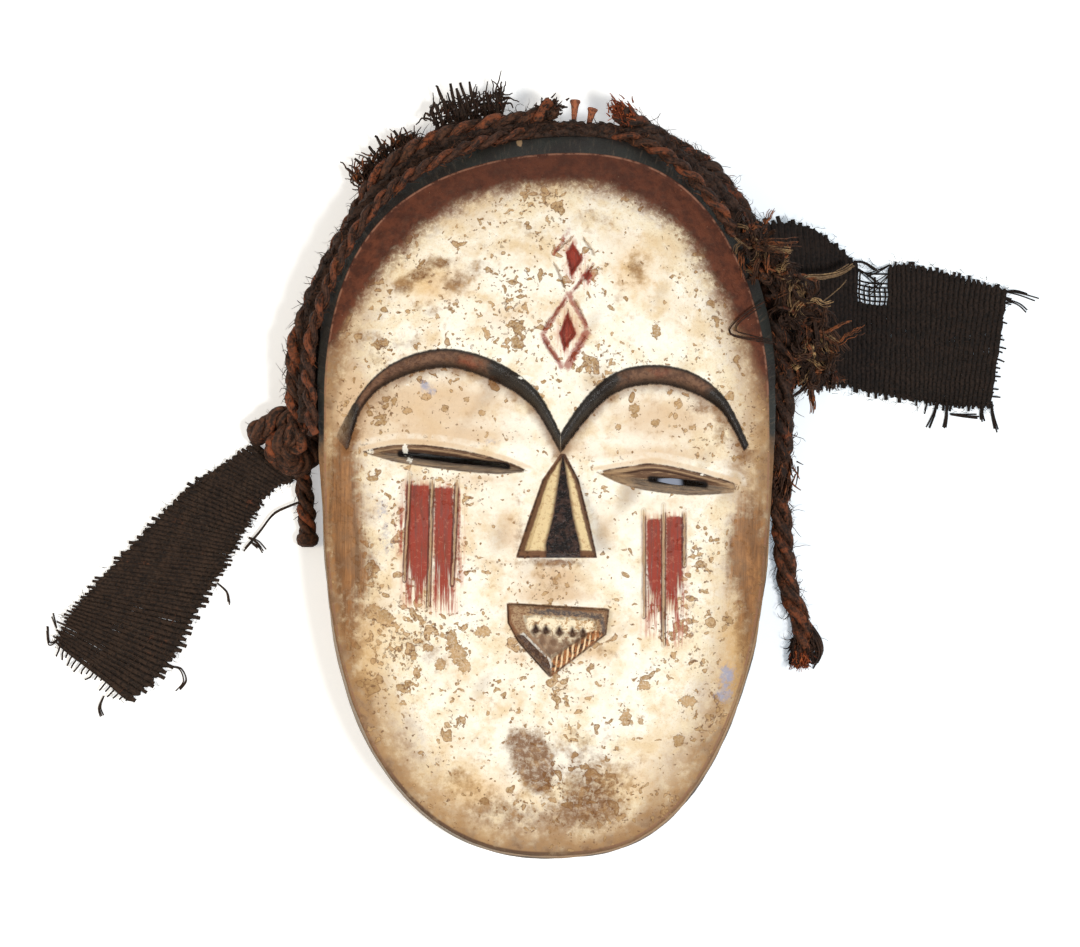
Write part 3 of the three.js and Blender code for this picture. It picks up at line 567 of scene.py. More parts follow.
def lipAt(angle):  # distance and height of the collar's lip
    offset = np.maximum(m["edgeBevel"], collarAt(angle))
    return offset, m["edgeHeight"] - m["collarDrop"] / m["collarWidth"] * offset


def beside(stations):  # [degrees, distance beyond the collar, height over its lip] to points
    degrees, beyond, over = np.asarray(stations, float).T
    angle = np.radians(degrees)
    flat = rimAt(angle, collarAt(angle) + beyond)
    return np.column_stack([flat, lipAt(angle)[1] + over])


def dome(x, y):  # edge height + crown * (1 - out^1.4), where out is 0 in the middle and 1 at the edge
    share = np.abs(y) / np.where(y > 0, m["heightAbove"], m["heightBelow"])
    power = mix(m["powerBelow"], m["powerAbove"], smooth((y + m["blendSpan"]) / (2 * m["blendSpan"])))
    out = np.abs((x - m["lean"] * share**6) / m["halfWidth"]) ** power + share**power
    return m["edgeHeight"] + m["crown"] * (1 - np.minimum(1, out) ** m["crownPower"])


def heightOf(line, x):
    return np.interp(x, line[:, 0], line[:, 1])


def browEdges(x):
    left = x < m["browsMeet"]
    return (np.where(left, heightOf(browTopLeft, x), heightOf(browTopRight, x)),
            np.where(left, heightOf(browFootLeft, x), heightOf(browFootRight, x)))


def browStrength(x):
    near, far = m["browFade"]
    return 1 - smooth((np.abs(x + 1) - near) / (far - near))


def face(x, y):
    # The dome; between the brow's edges a swell of sin(pi s) and a drop of s^1.5; the cheeks rise back slowly
    top, foot = browEdges(x)
    share = np.clip((top - y) / (top - foot), 0, 1)
    ledge = m["browSwell"] * np.sin(np.pi * share) - m["stepDepth"] * share**1.5
    cheek = -m["stepDepth"] * (1 - smooth((foot - y) / m["cheekReach"]))
    return dome(x, y) + browStrength(x) * np.where(y > foot, ledge, cheek)


def onBrowEdges(x, y, reach):  # moves points that lie close to a brow's edge onto it, so that it stays crisp
    for line in (browTopLeft, browTopRight, browFootLeft, browFootRight):
        edge = heightOf(line, x)
        slope = (heightOf(line, x + 0.4) - heightOf(line, x - 0.4)) / 0.8
        length = np.sqrt(1 + slope**2)
        gap = (y - edge) / length
        side = (x < m["browsMeet"]) if line[0, 0] < 0 else (x > m["browsMeet"])
        near = side & (np.abs(gap) < reach) & (x > line[0, 0]) & (x < line[-1, 0])
        x = np.where(near, x + gap * slope / length, x)
        y = np.where(near, y - gap / length, y)
    return x, y


def ringQuads(count, around):  # faces between rings of the same number of points
    k, s = np.meshgrid(np.arange(count - 1), np.arange(around), indexing="ij")
    t = (s + 1) % around
    quads = np.stack([k * around + s, k * around + t, (k + 1) * around + t, (k + 1) * around + s], -1)
    return quads.reshape(-1, 4)


def loft(sections):  # a solid through sections of the same number of points, closed at both ends
    sections = np.asarray(sections, float)
    count, around = sections.shape[:2]
    ring = np.arange(around)
    ends = [ring[::-1].tolist(), (ring + (count - 1) * around).tolist()]
    return sections.reshape(-1, 3), ringQuads(count, around).tolist() + ends


def atHeight(corners, height):
    return np.column_stack([corners, np.full(len(corners), height)])


def frontRings(ridge):  # from the middle of the face out to the ridge, uneven from hand work
    centre = np.array(m["frontCentre"])
    edgeLift = m["edgeHeight"] - face(*ridge.T)
    rings = []
    for share in np.linspace(0, 1, m["frontRings"] + 1)[1:]:
        x, y = onBrowEdges(*(centre + (ridge - centre) * share).T, 0.42)
        work = waves(x, y, (67, 51, 44, 37, 31, 26, 22, 18, 15), 5) * (1 - share**8) * m["handwork"]
        rings.append(np.column_stack([x, y, face(x, y) + work + edgeLift * share**10]))
    return rings


def sideRings(angle, ridge):  # the collar, its rebate and the wall, down to the foot
    worn = 0.3 * waves(ridge[:, 0], ridge[:, 1], (60, 33, 21, 13, 9), 8)
    lip, lipHeight = lipAt(angle)
    drop, foot = m["edgeHeight"] - lipHeight, lipHeight - m["rebateDrop"]
    rebate = m["rebateDepth"] * smooth((np.sin(angle) + 0.1) / 0.4)
    base = np.maximum(lip - 1, m["flare"] * np.sqrt(np.maximum(0, -np.sin(angle))))
    rings = []  # offset from the ridge, height
    for s in (0.05, 0.12, 0.3, 0.5, 0.7, 0.85, 0.95):
        swell = 0.06 * lip * np.sin(np.pi * s)
        rings.append((lip * s, m["edgeHeight"] - drop * s + swell + worn * s * lip / m["collarWidth"]))
    rings += [(lip + worn * 0.5, lipHeight - 0.3), (lip + worn * 0.5 - 0.2, lipHeight - 1.2),
              (lip - rebate * 0.9, lipHeight - m["rebateDrop"] * 0.8)]
    for s in (0, 0.15, 0.3, 0.45, 0.6, 0.75, 0.9, 0.97):
        swell = 0.8 * np.sin(np.pi * s)
        rough = 0.25 * waves(ridge[:, 0] + 40 * s, ridge[:, 1], (40, 24, 15), 11)
        rings.append((mix(lip - rebate, base, s) + swell + rough, foot * (1 - s)))
    rings.append((base - 0.8, foot * 0))
    return [np.column_stack([rimAt(angle, offset), height]) for offset, height in rings]


def hollowRings(ridge):  # the rim of the back, the hollow's wall, and its domed floor with adze marks
    hollow = np.array(m["hollowCentre"])
    rings = [atHeight(hollow + (ridge - hollow) * share, height) for share, height in m["hollowWall"]]
    for share in m["hollowFloor"]:
        x, y = (hollow + (ridge - hollow) * share).T
        under = dome(x, y) - m["shell"]
        marks = m["adzeMarks"] * np.abs(waves(x, y, (34, 23, 17, 13), 17))
        rings.append(np.column_stack([x, y, mix(25.5, under, smooth((0.93 - share) / 0.13)) - marks]))
    return rings


def maskBody():  # rings from the middle of the front round the edge into the hollow, a point at each end
    dense = np.linspace(0, 2 * np.pi, 6001)
    travelled = travelledOn(rimAt(dense))
    angle = np.interp(np.arange(m["turns"]) / m["turns"] * travelled[-1], travelled, dense)
    ridge = rimAt(angle)
    rings = np.array(frontRings(ridge) + sideRings(angle, ridge) + hollowRings(ridge))
    count, around = rings.shape[:2]
    centre, hollow = np.array(m["frontCentre"]), np.array(m["hollowCentre"])
    points = np.concatenate([rings.reshape(-1, 3), [[*centre, face(*centre)]],
                             [[*hollow, dome(*hollow) - m["shell"]]]])
    s = np.arange(around)
    t = (s + 1) % around
    top = np.stack([np.full(around, len(points) - 2), s, t], 1)
    low = (count - 1) * around
    under = np.stack([np.full(around, len(points) - 1), low + t, low + s], 1)
    return points, ringQuads(count, around)[:, [0, 3, 2, 1]].tolist() + top.tolist() + under.tolist()


# Eyes: two lids that slope down to a slit cut through the wood
eyes = {
    "left": {
        "upper": [(-79, -26.4), (-63, -23.4), (-40, -25.4), (-20, -30.1), (-8.5, -34.6)],
        "lower": [(-79, -26.7), (-64, -31), (-40, -34.4), (-22, -35.9), (-8.5, -34.9)],
        "slit": [(-79, -26.5), (-62.5, -27.4), (-40, -30), (-18, -32.5), (-8.5, -34.7)],
        "open": (-63.0, -17.5),
    },
    "right": {
        "upper": [(20.8, -35), (32.7, -33), (46, -31.7), (64, -35.4), (80, -40)],
        "lower": [(20.8, -35.4), (33.5, -41), (48, -43.8), (63, -45), (80, -43.8)],
        "slit": [(20.8, -35.2), (33.5, -37.2), (48, -38.6), (64, -40.2), (80, -42)],
        "open": (44.0, 67.0),
    },
    "lidDepth": 4.2, "slitHalf": 1.1, "stations": 110,
}


def eyeRecess(eye):  # sections across the eye: each lid falls by depth * s^1.5 from its edge to the slit
    upper, lower, slit = (splineThrough(eye[k]) for k in ("upper", "lower", "slit"))
    share = np.linspace(0, 1, eyes["stations"])
    x = mix(eye["upper"][0][0], eye["upper"][-1][0], share)
    depth = mix(0.3, eyes["lidDepth"], np.sin(np.pi * share) ** 0.6)
    u, l, c = heightOf(upper, x), heightOf(lower, x), heightOf(slit, x)
    s = np.linspace(0, 1, 9)
    lowY = mix(c[:, None], l[:, None], s)
    lowZ = face(x[:, None], lowY) - depth[:, None] * (1 - s) ** 1.4
    highY = mix(u[:, None], c[:, None], s[:-1])
    highZ = face(x[:, None], highY) - depth[:, None] * s[:-1] ** 1.4
    rest = np.full((len(x), 1), 80.0)
    y = np.concatenate([lowY, l[:, None], u[:, None], highY], 1)
    z = np.concatenate([lowZ, rest, rest, highZ], 1)
    z[:, 8] += 0.02
    return loft(np.stack([np.broadcast_to(x[:, None], y.shape), y, z], -1))


def eyeSlit(eye):
    share = np.linspace(0, 1, 40)
    x = mix(*eye["open"], share)
    half = 0.15 + eyes["slitHalf"] * np.sin(np.pi * share) ** 0.7 + 0.12 * waver(x, (9, 5), 3)
    half = np.maximum(half, 0.12)
    y = heightOf(splineThrough(eye["slit"]), x)
    sides = np.stack([-half, -half, half, half], 1) + y[:, None]
    z = np.broadcast_to([24.0, 80.0, 80.0, 24.0], sides.shape)
    return loft(np.stack([np.broadcast_to(x[:, None], sides.shape), sides, z], -1))


# Nose: [y, left foot, left edge, stripe left, stripe right, right edge, right foot, rise over the face]
nose = {
    "stations": [(-28.4, 5.7, 5.9, 6.1, 6.5, 6.7, 6.9, 0.6), (-38.5, -1.7, 0.6, 4.8, 8.0, 11.4, 12.4, 4.2),
                 (-54, -7.2, -3.8, 2.4, 10.6, 14.9, 16.2, 8.6),
                 (-69.4, -12.7, -8.2, -0.6, 13.5, 18.6, 19.9, 12.6)],
    "shoulder": 0.9, "undercut": 1.2, "sunk": 6.0, "rounding": 0.7,
}


def noseSolid():  # a wedge with three facets in front, widening and rising from the bridge to the tip
    y, footL, edgeL, stripeL, stripeR, edgeR, footR, rise = splineThrough(nose["stations"], 40).T
    back = np.where(np.arange(len(y)) == len(y) - 1, nose["undercut"], 0)
    low = nose["shoulder"]
    section = [(footL, back, -nose["sunk"]), (footL, back, 0), (edgeL, 0, rise * low), (stripeL, 0, rise),
               (stripeR, 0, rise), (edgeR, 0, rise * low), (footR, back, 0), (footR, back, -nose["sunk"])]
    section = np.stack([np.stack([x, y + up, face(x, y) + over], -1) for x, up, over in section], 1)
    steps = [mix(section[:, k, None], section[:, k + 1, None], np.arange(5)[:, None] / 5) for k in range(7)]
    return loft(np.concatenate(steps + [section[:, 7:]], 1))


# Mouth: a raised wedge with a sunk field of cut teeth
mouth = {
    "corners": [(-16.9, -91.3), (-16.5, -99.3), (-12.3, -107), (0.8, -121.7), (24, -104), (25.3, -93.8)],
    "rise": 5.2, "bevel": 1.4, "rounding": 0.6,
    "field": [(-9.6, -96.6), (-8.6, -100), (-6.6, -103), (1.4, -113.6), (19.4, -101.6), (20, -98.2)],
    "fieldDepth": 2.2, "rim": 0.11,
    "teeth": [(-5.2, -99.8), (-0.9, -100.2), (4.8, -100.8), (10.4, -101.4), (14.8, -101.4)],
    "toothWidth": 2.6, "toothLength": 3.8, "toothDepth": 1.2,
}
mouthTop = face(*np.array(mouth["corners"][3])) + mouth["rise"]


def stepped(corners, steps=8):  # closed outline with points along its edges
    corners = np.array(corners)
    share = (np.arange(steps) / steps)[:, None]
    return mix(corners[:, None], np.roll(corners, -1, 0)[:, None], share).reshape(-1, 2)


def mouthSolid():
    corners = stepped(mouth["corners"])
    middle = corners.mean(0)
    inner = corners - unit(corners - middle) * mouth["bevel"]
    return loft([atHeight(corners, mouthTop - mouth["rise"] - nose["sunk"]),
                 atHeight(corners, mouthTop - mouth["bevel"])]
                + [atHeight(mix(middle, inner, share), mouthTop) for share in np.linspace(1, 0.1, 12)])


def mouthField():  # walls that slope in from the rim to a flat field, which is made of rings about its middle
    outer = stepped(mix(np.array(mouth["corners"]), [3.6, -101], mouth["rim"]))
    inner = stepped(mouth["field"])
    middle = inner.mean(0)
    depths = mouthTop - mouth["fieldDepth"] * np.array([1, 0.62, 0.3, 0])
    slope = [atHeight(mix(inner, outer, k / 3), depth) for k, depth in enumerate(depths)]
    return loft([atHeight(mix(middle, inner, share), depths[0]) for share in np.linspace(0.05, 0.9, 14)]
                + slope + [atHeight(outer, 80)])


def toothCut(apex):
    half = mouth["toothWidth"] / 2
    corners = np.array(apex) + [(0, 0), (-half, -mouth["toothLength"]), (half, -mouth["toothLength"])]
    middle = corners.mean(0)
    floor = mouthTop - mouth["fieldDepth"]
    return loft([atHeight(mix(middle, corners, 0.35), floor - mouth["toothDepth"]),
                 atHeight(corners, floor + 0.05), atHeight(corners, mouthTop - 0.2)])


# Forehead lozenges, [x, y] of the top, right, bottom and left corners: outer edge and sunk centre
lozenges = {
    "bands": [[(13.1, 66.2), (19.9, 55.2), (9.3, 41.4), (2.5, 56.5)],
              [(9.3, 39.6), (16.5, 25.1), (6.7, 10.7), (-2.2, 23.4)]],
    "centres": [[(10.6, 62.8), (15.2, 55.6), (9.7, 47.1), (7.2, 58.6)],
                [(8.4, 33.6), (12.3, 23.4), (6.7, 15.8), (4.6, 23.8)]],
    "depth": 1.8, "grooveWidth": 1.9, "grooveDepth": 1.2, "bevel": 0.45,
}


def onFace(corners, over):
    corners = np.asarray(corners, float)
    return np.column_stack([corners, face(*corners.T) + over])


def pocket(corners):  # sunk centre with sides that slope in
    corners = np.array(corners)
    inner = mix(corners, corners.mean(0), lozenges["bevel"])
    return loft([onFace(inner, -lozenges["depth"]), onFace(corners, 0.35), atHeight(corners, 80)])


def cutLine(start, end, width, depth, seed):  # V-shaped groove with a sharp bottom, running out at both ends
    start, end = np.array(start, float), np.array(end, float)
    share = np.linspace(0, 1, 28)
    along = unit(end - start)
    out = np.array([along[1], -along[0]])
    open = mix(0.15, 1, np.minimum(1, 7 * np.minimum(share, 1 - share)))
    middle = mix(start, end, share[:, None])
    middle = middle + out * (0.22 * waver(share * 60, (31, 17, 9), seed) * open)[:, None]
    half = (width / 2 * open * (1 + 0.15 * waves(share * 60, share, (19, 11), seed + 1)))[:, None]
    over = 0.5
    flare = half * (1 + over / depth)
    low = np.column_stack([middle, face(*middle.T) - depth * open])
    right, left = middle + out * flare, middle - out * flare
    return loft(np.stack([low, np.column_stack([right, face(*right.T) + over]),
                          np.column_stack([left, face(*left.T) + over])], 1))


def bandCuts(band, seed):  # a groove just outside each side of a lozenge
    corners = np.array(band)
    cuts = []
    for k in range(4):
        a, b = corners[k], corners[(k + 1) % 4]
        along = unit(b - a)
        out = np.array([along[1], -along[0]])
        out = out * np.sign(np.dot(out, a - corners.mean(0)))
        shift = out * lozenges["grooveWidth"] * 0.55
        cuts.append(cutLine(a + shift + along * 1.1, b + shift - along * 1.1, lozenges["grooveWidth"],
                            lozenges["grooveDepth"], seed + k))
    return cuts


# Cheek marks: three cut lines on each cheek
cheekMarks = {
    "lines": [[(-59, -35.5), (-61.2, -81.4)], [(-49.3, -38.1), (-51, -92.8)],
              [(-38.7, -38.5), (-40.8, -83.1)], [(40.7, -51.2), (40.7, -96.7)],
              [(49.2, -49.1), (49.2, -109)], [(58.1, -52.5), (58.1, -75)]],
    "width": 1.9, "depth": 1.1,
}

nails = {
    "places": [(87.6, 17.6, 0.03), (85.0, 14.8, 0.17)],  # degrees, reach out of the wood, tilt
    "height": 23.5, "driven": 7.0, "shaft": 1.3,
}


def nailLine(place):  # foot of a nail on the wall and the direction of its shaft
    degrees, _, tilt = place
    angle = np.radians([degrees])
    foot = rimAt(angle, collarAt(angle) - 2)[0]
    out = unit(rimAt(angle, np.array([1.0]))[0] - rimAt(angle)[0] + [tilt, 0])
    return np.array([*foot, nails["height"]]), np.array([*out, 0])


def nailHole(place):
    foot, out = nailLine(place)
    path = foot + out * np.array([[-nails["driven"] - 0.3], [nails["driven"]]])
    return bars(path[None], nails["shaft"] + 0.3, nails["shaft"] + 0.3, 10)[:2]


def solidsObject(name, solids, rounding=0.0):
    points, faces = joined(solids)
    piece = addMesh(name, toFrame(points), faces, [])
    work = bmesh.new()
    work.from_mesh(piece.data)
    bmesh.ops.recalc_face_normals(work, faces=work.faces)
    if rounding:
        sharp = [e for e in work.edges if e.is_manifold and e.calc_face_angle() > 0.3]
        bmesh.ops.bevel(work, geom=sharp, offset=rounding * 0.001, segments=2, profile=0.6, affect="EDGES")
    work.to_mesh(piece.data)
    work.free()
    return piece


def carve(body, steps):  # unites with or cuts by each tool in turn, and keeps the result as a plain mesh
    for tool, operation in steps:
        cut = body.modifiers.new("carve", "BOOLEAN")
        cut.object, cut.operation, cut.solver = tool, operation, "MANIFOLD"
    carved = bpy.data.meshes.new_from_object(body.evaluated_get(bpy.context.evaluated_depsgraph_get()))
    body.modifiers.clear()
    for tool, _ in steps:
        bpy.data.objects.remove(tool)
    body.data = carved
    return body


def carvedMask():
    points, faces = maskBody()
    recesses = [eyeRecess(eyes["left"]), eyeRecess(eyes["right"]), mouthField()]
    recesses += [nailHole(place) for place in nails["places"]]
    recesses += [cutLine(*line, cheekMarks["width"] * 1.2, cheekMarks["depth"], 50 + 2 * k)
                 for k, line in enumerate(cheekMarks["lines"])]
    pockets = [pocket(centre) for centre in lozenges["centres"]]
    bands = [cut for k, band in enumerate(lozenges["bands"]) for cut in bandCuts(band, 30 + 4 * k)]
    slits = [eyeSlit(eyes["left"]), eyeSlit(eyes["right"])] + [toothCut(apex) for apex in mouth["teeth"]]
    carved = carve(addMesh("mask_wood", toFrame(points), faces, []), [
        (solidsObject("nose_block", [noseSolid()], nose["rounding"]), "UNION"),
        (solidsObject("mouth_block", [mouthSolid()], mouth["rounding"]), "UNION"),
        (solidsObject("recesses", recesses), "DIFFERENCE"),
        (solidsObject("lozenge_cuts", pockets + bands), "DIFFERENCE"),
        (solidsObject("slits", slits), "DIFFERENCE"),
    ])
    carved.data.shade_smooth()
    carved.data.set_sharp_from_angle(angle=np.radians(32))
    print("mask carved:", len(carved.data.polygons), "faces")
    return carved


def box(left, top, right, bottom):
    return [(left, top), (right, top), (right, bottom), (left, bottom)]


# What is painted, worn or stained, and where painted shade and highlights go: outlines and soft patches in
# mm, each under the name of its mark
paint = {
    "white": [(-92, 19.3), (-86.9, 30), (-80.5, 39.8), (-71.9, 51.4), (-63.3, 59.9), (-54.8, 68.5),
              (-46.2, 75.8), (-37.7, 80.5), (-24.8, 85.6), (-12, 87.9), (5.1, 88.8), (22.3, 87.9),
              (30.8, 85.6), (39.4, 81.3), (47.9, 76.2), (56.5, 69.3), (65.1, 57.8), (71.5, 47.1),
              (77.9, 36.4), (84.3, 21.4), (90.7, 8.6), (95.9, -3), (125, -25), (125, -240), (-125, -240),
              (-125, 8)],
    "outlines": {
        "red": [box(-60.6, -40.5, -50.4, -91), box(-48.6, -41.5, -40.2, -94), box(-38.4, -43, -37.5, -82),
                box(-63.1, -50, -62.3, -70), box(42, -55, 48.3, -104), box(50.2, -54, 57.6, -108),
                *lozenges["centres"], [(17, 52), (19, 48), (16.5, 44.5), (14.5, 48.5)]],
        "rust": [[(19.5, 54), (20.6, 55.4), (9.4, 38.6), (8.4, 40.2)],
                 [(1, 57), (2.8, 57), (10, 68.5), (8.6, 68.5)],
                 [(-3.4, 22), (-1.6, 24), (7, 9.6), (5.5, 8.4)],
                 [(15.6, 26), (18.6, 24.6), (8.6, 7.4), (6.4, 10.4)],
                 [(-3, 24), (-1.6, 22.6), (9.6, 40.2), (8.2, 41.4)],
                 [(9.5, 40.6), (18, 25.4), (16, 24.8), (8.4, 38.6)]],
        "noseFront": [[(5.9, -28.4), (-0.4, -38.5), (-5.4, -54), (-10.4, -68.6), (18.9, -68.6), (15.1, -54),
                       (11.4, -38.5), (6.7, -28.4)]],
        "noseAll": [[(5.4, -27.6), (-2.2, -38.5), (-7.7, -54), (-13.4, -71.4), (20.6, -71.4), (16.8, -54),
                     (12.9, -38.5), (7.2, -27.6)]],
        "stripe": [[(6.1, -28), (4.6, -38.5), (2.2, -54), (-0.9, -66), (-0.6, -72), (13.8, -72),
                    (13.2, -66), (10.4, -54), (8, -38.5), (6.6, -28)]],
        "mouthAll": [[(-17.6, -90.6), (-17.2, -99.4), (-12.8, -107.6), (0.8, -122.8), (24.9, -104.2),
                      (26.2, -93.1)]],
        "mouthLeft": [[(-17.6, -91), (-16.2, -91.4), (-15.6, -98.6), (-12, -105.6), (-13, -107.4),
                       (-17.2, -100)]],
        "mouthDark": [[(-13.8, -103.8), (-10.4, -103.4), (1.8, -115.6), (1.2, -123.4), (-13.4, -108)]],
        "mouthGrey": [[(-9, -93), (14, -94.2), (23.2, -95.6), (24.8, -103.8), (22.8, -104.2), (21.6, -97.8),
                       (13, -96.4), (-8, -95.3)]],
        "hatch": [[(1.6, -114.4), (18.8, -101.8), (24.4, -103.6), (1.6, -122.6)]],
        "mouthField": [mouth["field"]],
    },
    "patches": {  # (x, y), half width, half height, strength
        # brown stains, mostly on the forehead, chin and cheeks; the thin band under the nose and the patch
        # beside its left foot are painted shade
        "stain": [((-62, 44), 5, 3.5, 0.8), ((-55, 49), 6, 3, 0.85), ((-47, 54), 7, 3, 0.8),
                  ((-40, 45.6), 7, 5, 0.7), ((-30, 52), 8, 5, 0.4), ((37.6, 52), 6, 7, 0.6),
                  ((30, 40), 6, 5, 0.35), ((-52, 33), 10, 6, 0.4), ((-14, -150), 5, 7, 0.7),
                  ((-7, -157), 6.5, 8.5, 1.8), ((-3.5, -165), 5, 6, 1.7), ((15, -168), 12, 15, 0.62),
                  ((5, -184), 30, 8, 0.5), ((-24, -178), 14, 9, 0.4), ((33, -165), 10, 12, 0.35),
                  ((20, -176), 9, 7, 0.5), ((-82, -120), 7, 26, 0.35), ((83, -110), 5, 24, 0.4),
                  ((-50, -112), 12, 12, 0.35), ((2, -84), 10, 5, 0.35), ((-84, -20), 6, 8, 0.6),
                  ((84, -30), 6, 7, 0.5), ((24, -110), 7, 4, 0.35), ((3, -73.5), 15, 1.8, 0.9),
                  ((-12, -58), 3, 10, 0.5), ((-72, 14), 8, 5, 0.4), ((-60, 20), 10, 3, 0.4),
                  ((64, -8), 7, 4, 0.6), ((74, -16), 4, 7, 0.6), ((48, 4), 16, 2.5, 0.4),
                  ((-56, 8), 18, 2.5, 0.35), ((-78, 22), 9, 4, 0.4), ((-90, 6), 5, 14, 0.5),
                  ((-86, -90), 6, 20, 0.5), ((88, -100), 5, 22, 0.4), ((-60, -150), 9, 12, 0.3),
                  ((-40, -168), 12, 9, 0.4), ((10, -150), 20, 8, 0.25), ((17, 74), 14, 5, 0.35),
                  ((-6, 68), 10, 4, 0.35)],
        # peach: painted shade under the brows, above and below the eyes, where the brows meet, beside and
        # under the nose and beside the mouth, and two soft patches on the forehead
        "peach": [((-50, -6), 34, 12, 1.1), ((50, -12), 28, 11, 0.9), ((-84, -10), 7, 22, 0.8),
                  ((-45, -20.5), 34, 4.5, 0.8), ((-30, -38), 22, 3, 0.5), ((48, -28), 30, 4, 0.7),
                  ((50, -48), 22, 3, 0.4), ((-16, -60), 7, 12, 0.7), ((24, -60), 6, 12, 0.6),
                  ((4, -80), 14, 6, 0.9), ((2, -88), 18, 3, 0.9), ((-14, -112), 8, 8, 0.5),
                  ((18, -112), 9, 5, 0.6), ((30, 62), 12, 16, 0.4), ((-20, 30), 18, 10, 0.4),
                  ((8, -24), 8, 6, 0.6)],
        "amber": [((-48, 46), 19, 11, 0.9), ((36, 50), 12, 15, 0.8), ((-30, -172), 20, 9, 0.8),
                  ((32, -168), 18, 12, 0.7), ((-76, -112), 10, 24, 0.6), ((80, -112), 9, 28, 0.7),
                  ((-36, -122), 10, 12, 0.4), ((2, 78), 20, 5, 0.4), ((-12, -118), 8, 6, 0.5)],
        # white chips in the paint at the eyes and on the brows, partly painted glints on the glossy brows
        "nick": [((-61, -25.5), 1.2, 2.4, 1.2), ((-59, -30), 1.6, 1.6, 0.8), ((-9, -34.8), 2, 1, 1.0),
                 ((-9.5, 5), 3.4, 0.9, 1.3), ((-3, -0.6), 1.2, 1.2, 1.2), ((22, -35), 1.6, 1.0, 1.0),
                 ((-76, -26.5), 2, 1.2, 0.8), ((66, -36.2), 2.4, 0.8, 0.7), ((-60, 2), 3, 1, 0.5)],
        "mouthShade": [((-3, -107), 7, 6, 0.8), ((4, -110), 6, 5, 0.7), ((14, -104), 6, 3, 0.3)],
        "collarNick": [((-12.4, 107.3), 1.6, 2.6, 1.0), ((20, 106), 0.7, 2.4, 0.6)],
        "browTone": [((4, -10), 24, 44, 1.1), ((-86, -14), 9, 16, 0.8), ((80, -14), 17, 22, 1.1),
                     ((-20, 10), 9, 8, 0.4), ((20, 10), 14, 12, 0.4)],
        "browRed": [((-34, 11), 8, 5, 0.5), ((-20, 4), 5, 4, 0.4), ((48, 8), 9, 4, 0.4)],
        "bare": [((-87, -58), 8, 24, 1.25), ((-80, -78), 8, 14, 0.65), ((-88, -30), 6, 14, 0.8),
                 ((87, -66), 8, 20, 1.25), ((80, -70), 6, 12, 0.6), ((86, -95), 6, 18, 0.6),
                 ((-86, -100), 6, 20, 0.5)],
        "blue": [((77, -122), 4, 5, 0.9), ((75, -131), 5, 4, 0.7), ((-71, -50), 4, 7, 0.5),
                 ((-69, -65), 4, 9, 0.5), ((62, -90), 4, 8, 0.3), ((64, -103), 5, 6, 0.3),
                 ((-52.5, 2), 2.6, 3, 0.9), ((-49, -1), 2, 2, 0.6), ((-24, -22), 4, 2, 0.5),
                 ((20, -10), 6, 5, 0.25), ((-60, -135), 6, 8, 0.2)],
    },
    "blobs": [((-73, -96), 5.5, 2.4), ((-68.5, -99), 3.2, 2.2), ((-75, -93.5), 2.2, 1.8),
              ((-41, -106), 2.4, 4.4), ((-38, -113), 3, 4), ((-35.5, -118), 2.4, 3),
              ((-28, -103), 3.6, 2.2), ((-51, -110), 2.4, 1.6), ((-46, -117), 2.2, 2.6),
              ((-56, -121), 2, 2.2), ((60, -133), 3.5, 2.5), ((33, -140), 2.5, 3.4), ((41, -126), 2.8, 2),
              ((46, 25), 2, 3), ((-70, 20), 2.2, 1.8), ((56, -150), 2.2, 3), ((-52, -3), 2.2, 1.5),
              ((-44, -8), 1.8, 1.6), ((-35, -4), 1.4, 1.2), ((-60, -9), 2, 1.3), ((-28, -10), 1.6, 1.2),
              ((-66, -5), 1.4, 1.6), ((37, -8), 2.6, 1.8), ((46, -14), 2, 1.5), ((56, -6), 1.6, 2),
              ((30, -16), 1.4, 1.2), ((62, -16), 1.8, 1.2), ((52, -1), 1.3, 1.3)],
    "teeth": [(-5.2, -98.8), (-0.9, -99.2), (4.8, -99.8), (10.4, -100.4), (14.8, -100.6)],
    "softTeeth": [(-2.6, -103.4), (2.2, -104), (7.8, -104.2), (12.6, -103.6), (0.6, -107.8), (5, -107.6)],
    "toothHalf": (2.2, 3.0),
}


def insideBy(x, y, outline):  # how far inside a closed outline each point lies, in mm; negative outside
    a = np.asarray(outline, float)
    b = np.roll(a, -1, 0)
    edge = b - a
    found = []
    for part in np.array_split(np.column_stack([x, y]), max(1, len(x) * len(a) // 2000000)):
        away = part[:, None] - a
        along = np.clip((away * edge).sum(-1) / (edge**2).sum(-1), 0, 1)
        gap = np.linalg.norm(away - along[..., None] * edge, axis=-1).min(1)
        px, py = part[:, :1], part[:, 1:]
        with np.errstate(divide="ignore", invalid="ignore"):
            crossing = a[:, 0] + (py - a[:, 1]) * edge[:, 0] / edge[:, 1]
        inside = (((a[:, 1] > py) != (b[:, 1] > py)) & (px < crossing)).sum(1) % 2 == 1
        found.append(np.where(inside, gap, -gap))
    return np.concatenate(found)


def lineGap(x, y, start, end):  # distance in mm to a straight line between two points
    start, edge = np.array(start), np.subtract(end, start)
    away = np.column_stack([x, y]) - start
    along = np.clip(away @ edge / (edge @ edge), 0, 1)
    return np.linalg.norm(away - along[:, None] * edge, axis=1)


def diamond(x, y):  # top corner at x, y; widest near its foot
    half, tall = paint["toothHalf"]
    return [(x, y), (x + half, y - 1.3 * tall), (x, y - 1.9 * tall), (x - half, y - 1.3 * tall)]


def softPatches(x, y, patches):  # sum of bells: strength * exp(-((x - a) / w)^2 - ((y - b) / h)^2)
    return sum(strength * np.exp(-((x - a) / w) ** 2 - ((y - b) / h) ** 2)
               for (a, b), w, h, strength in patches)


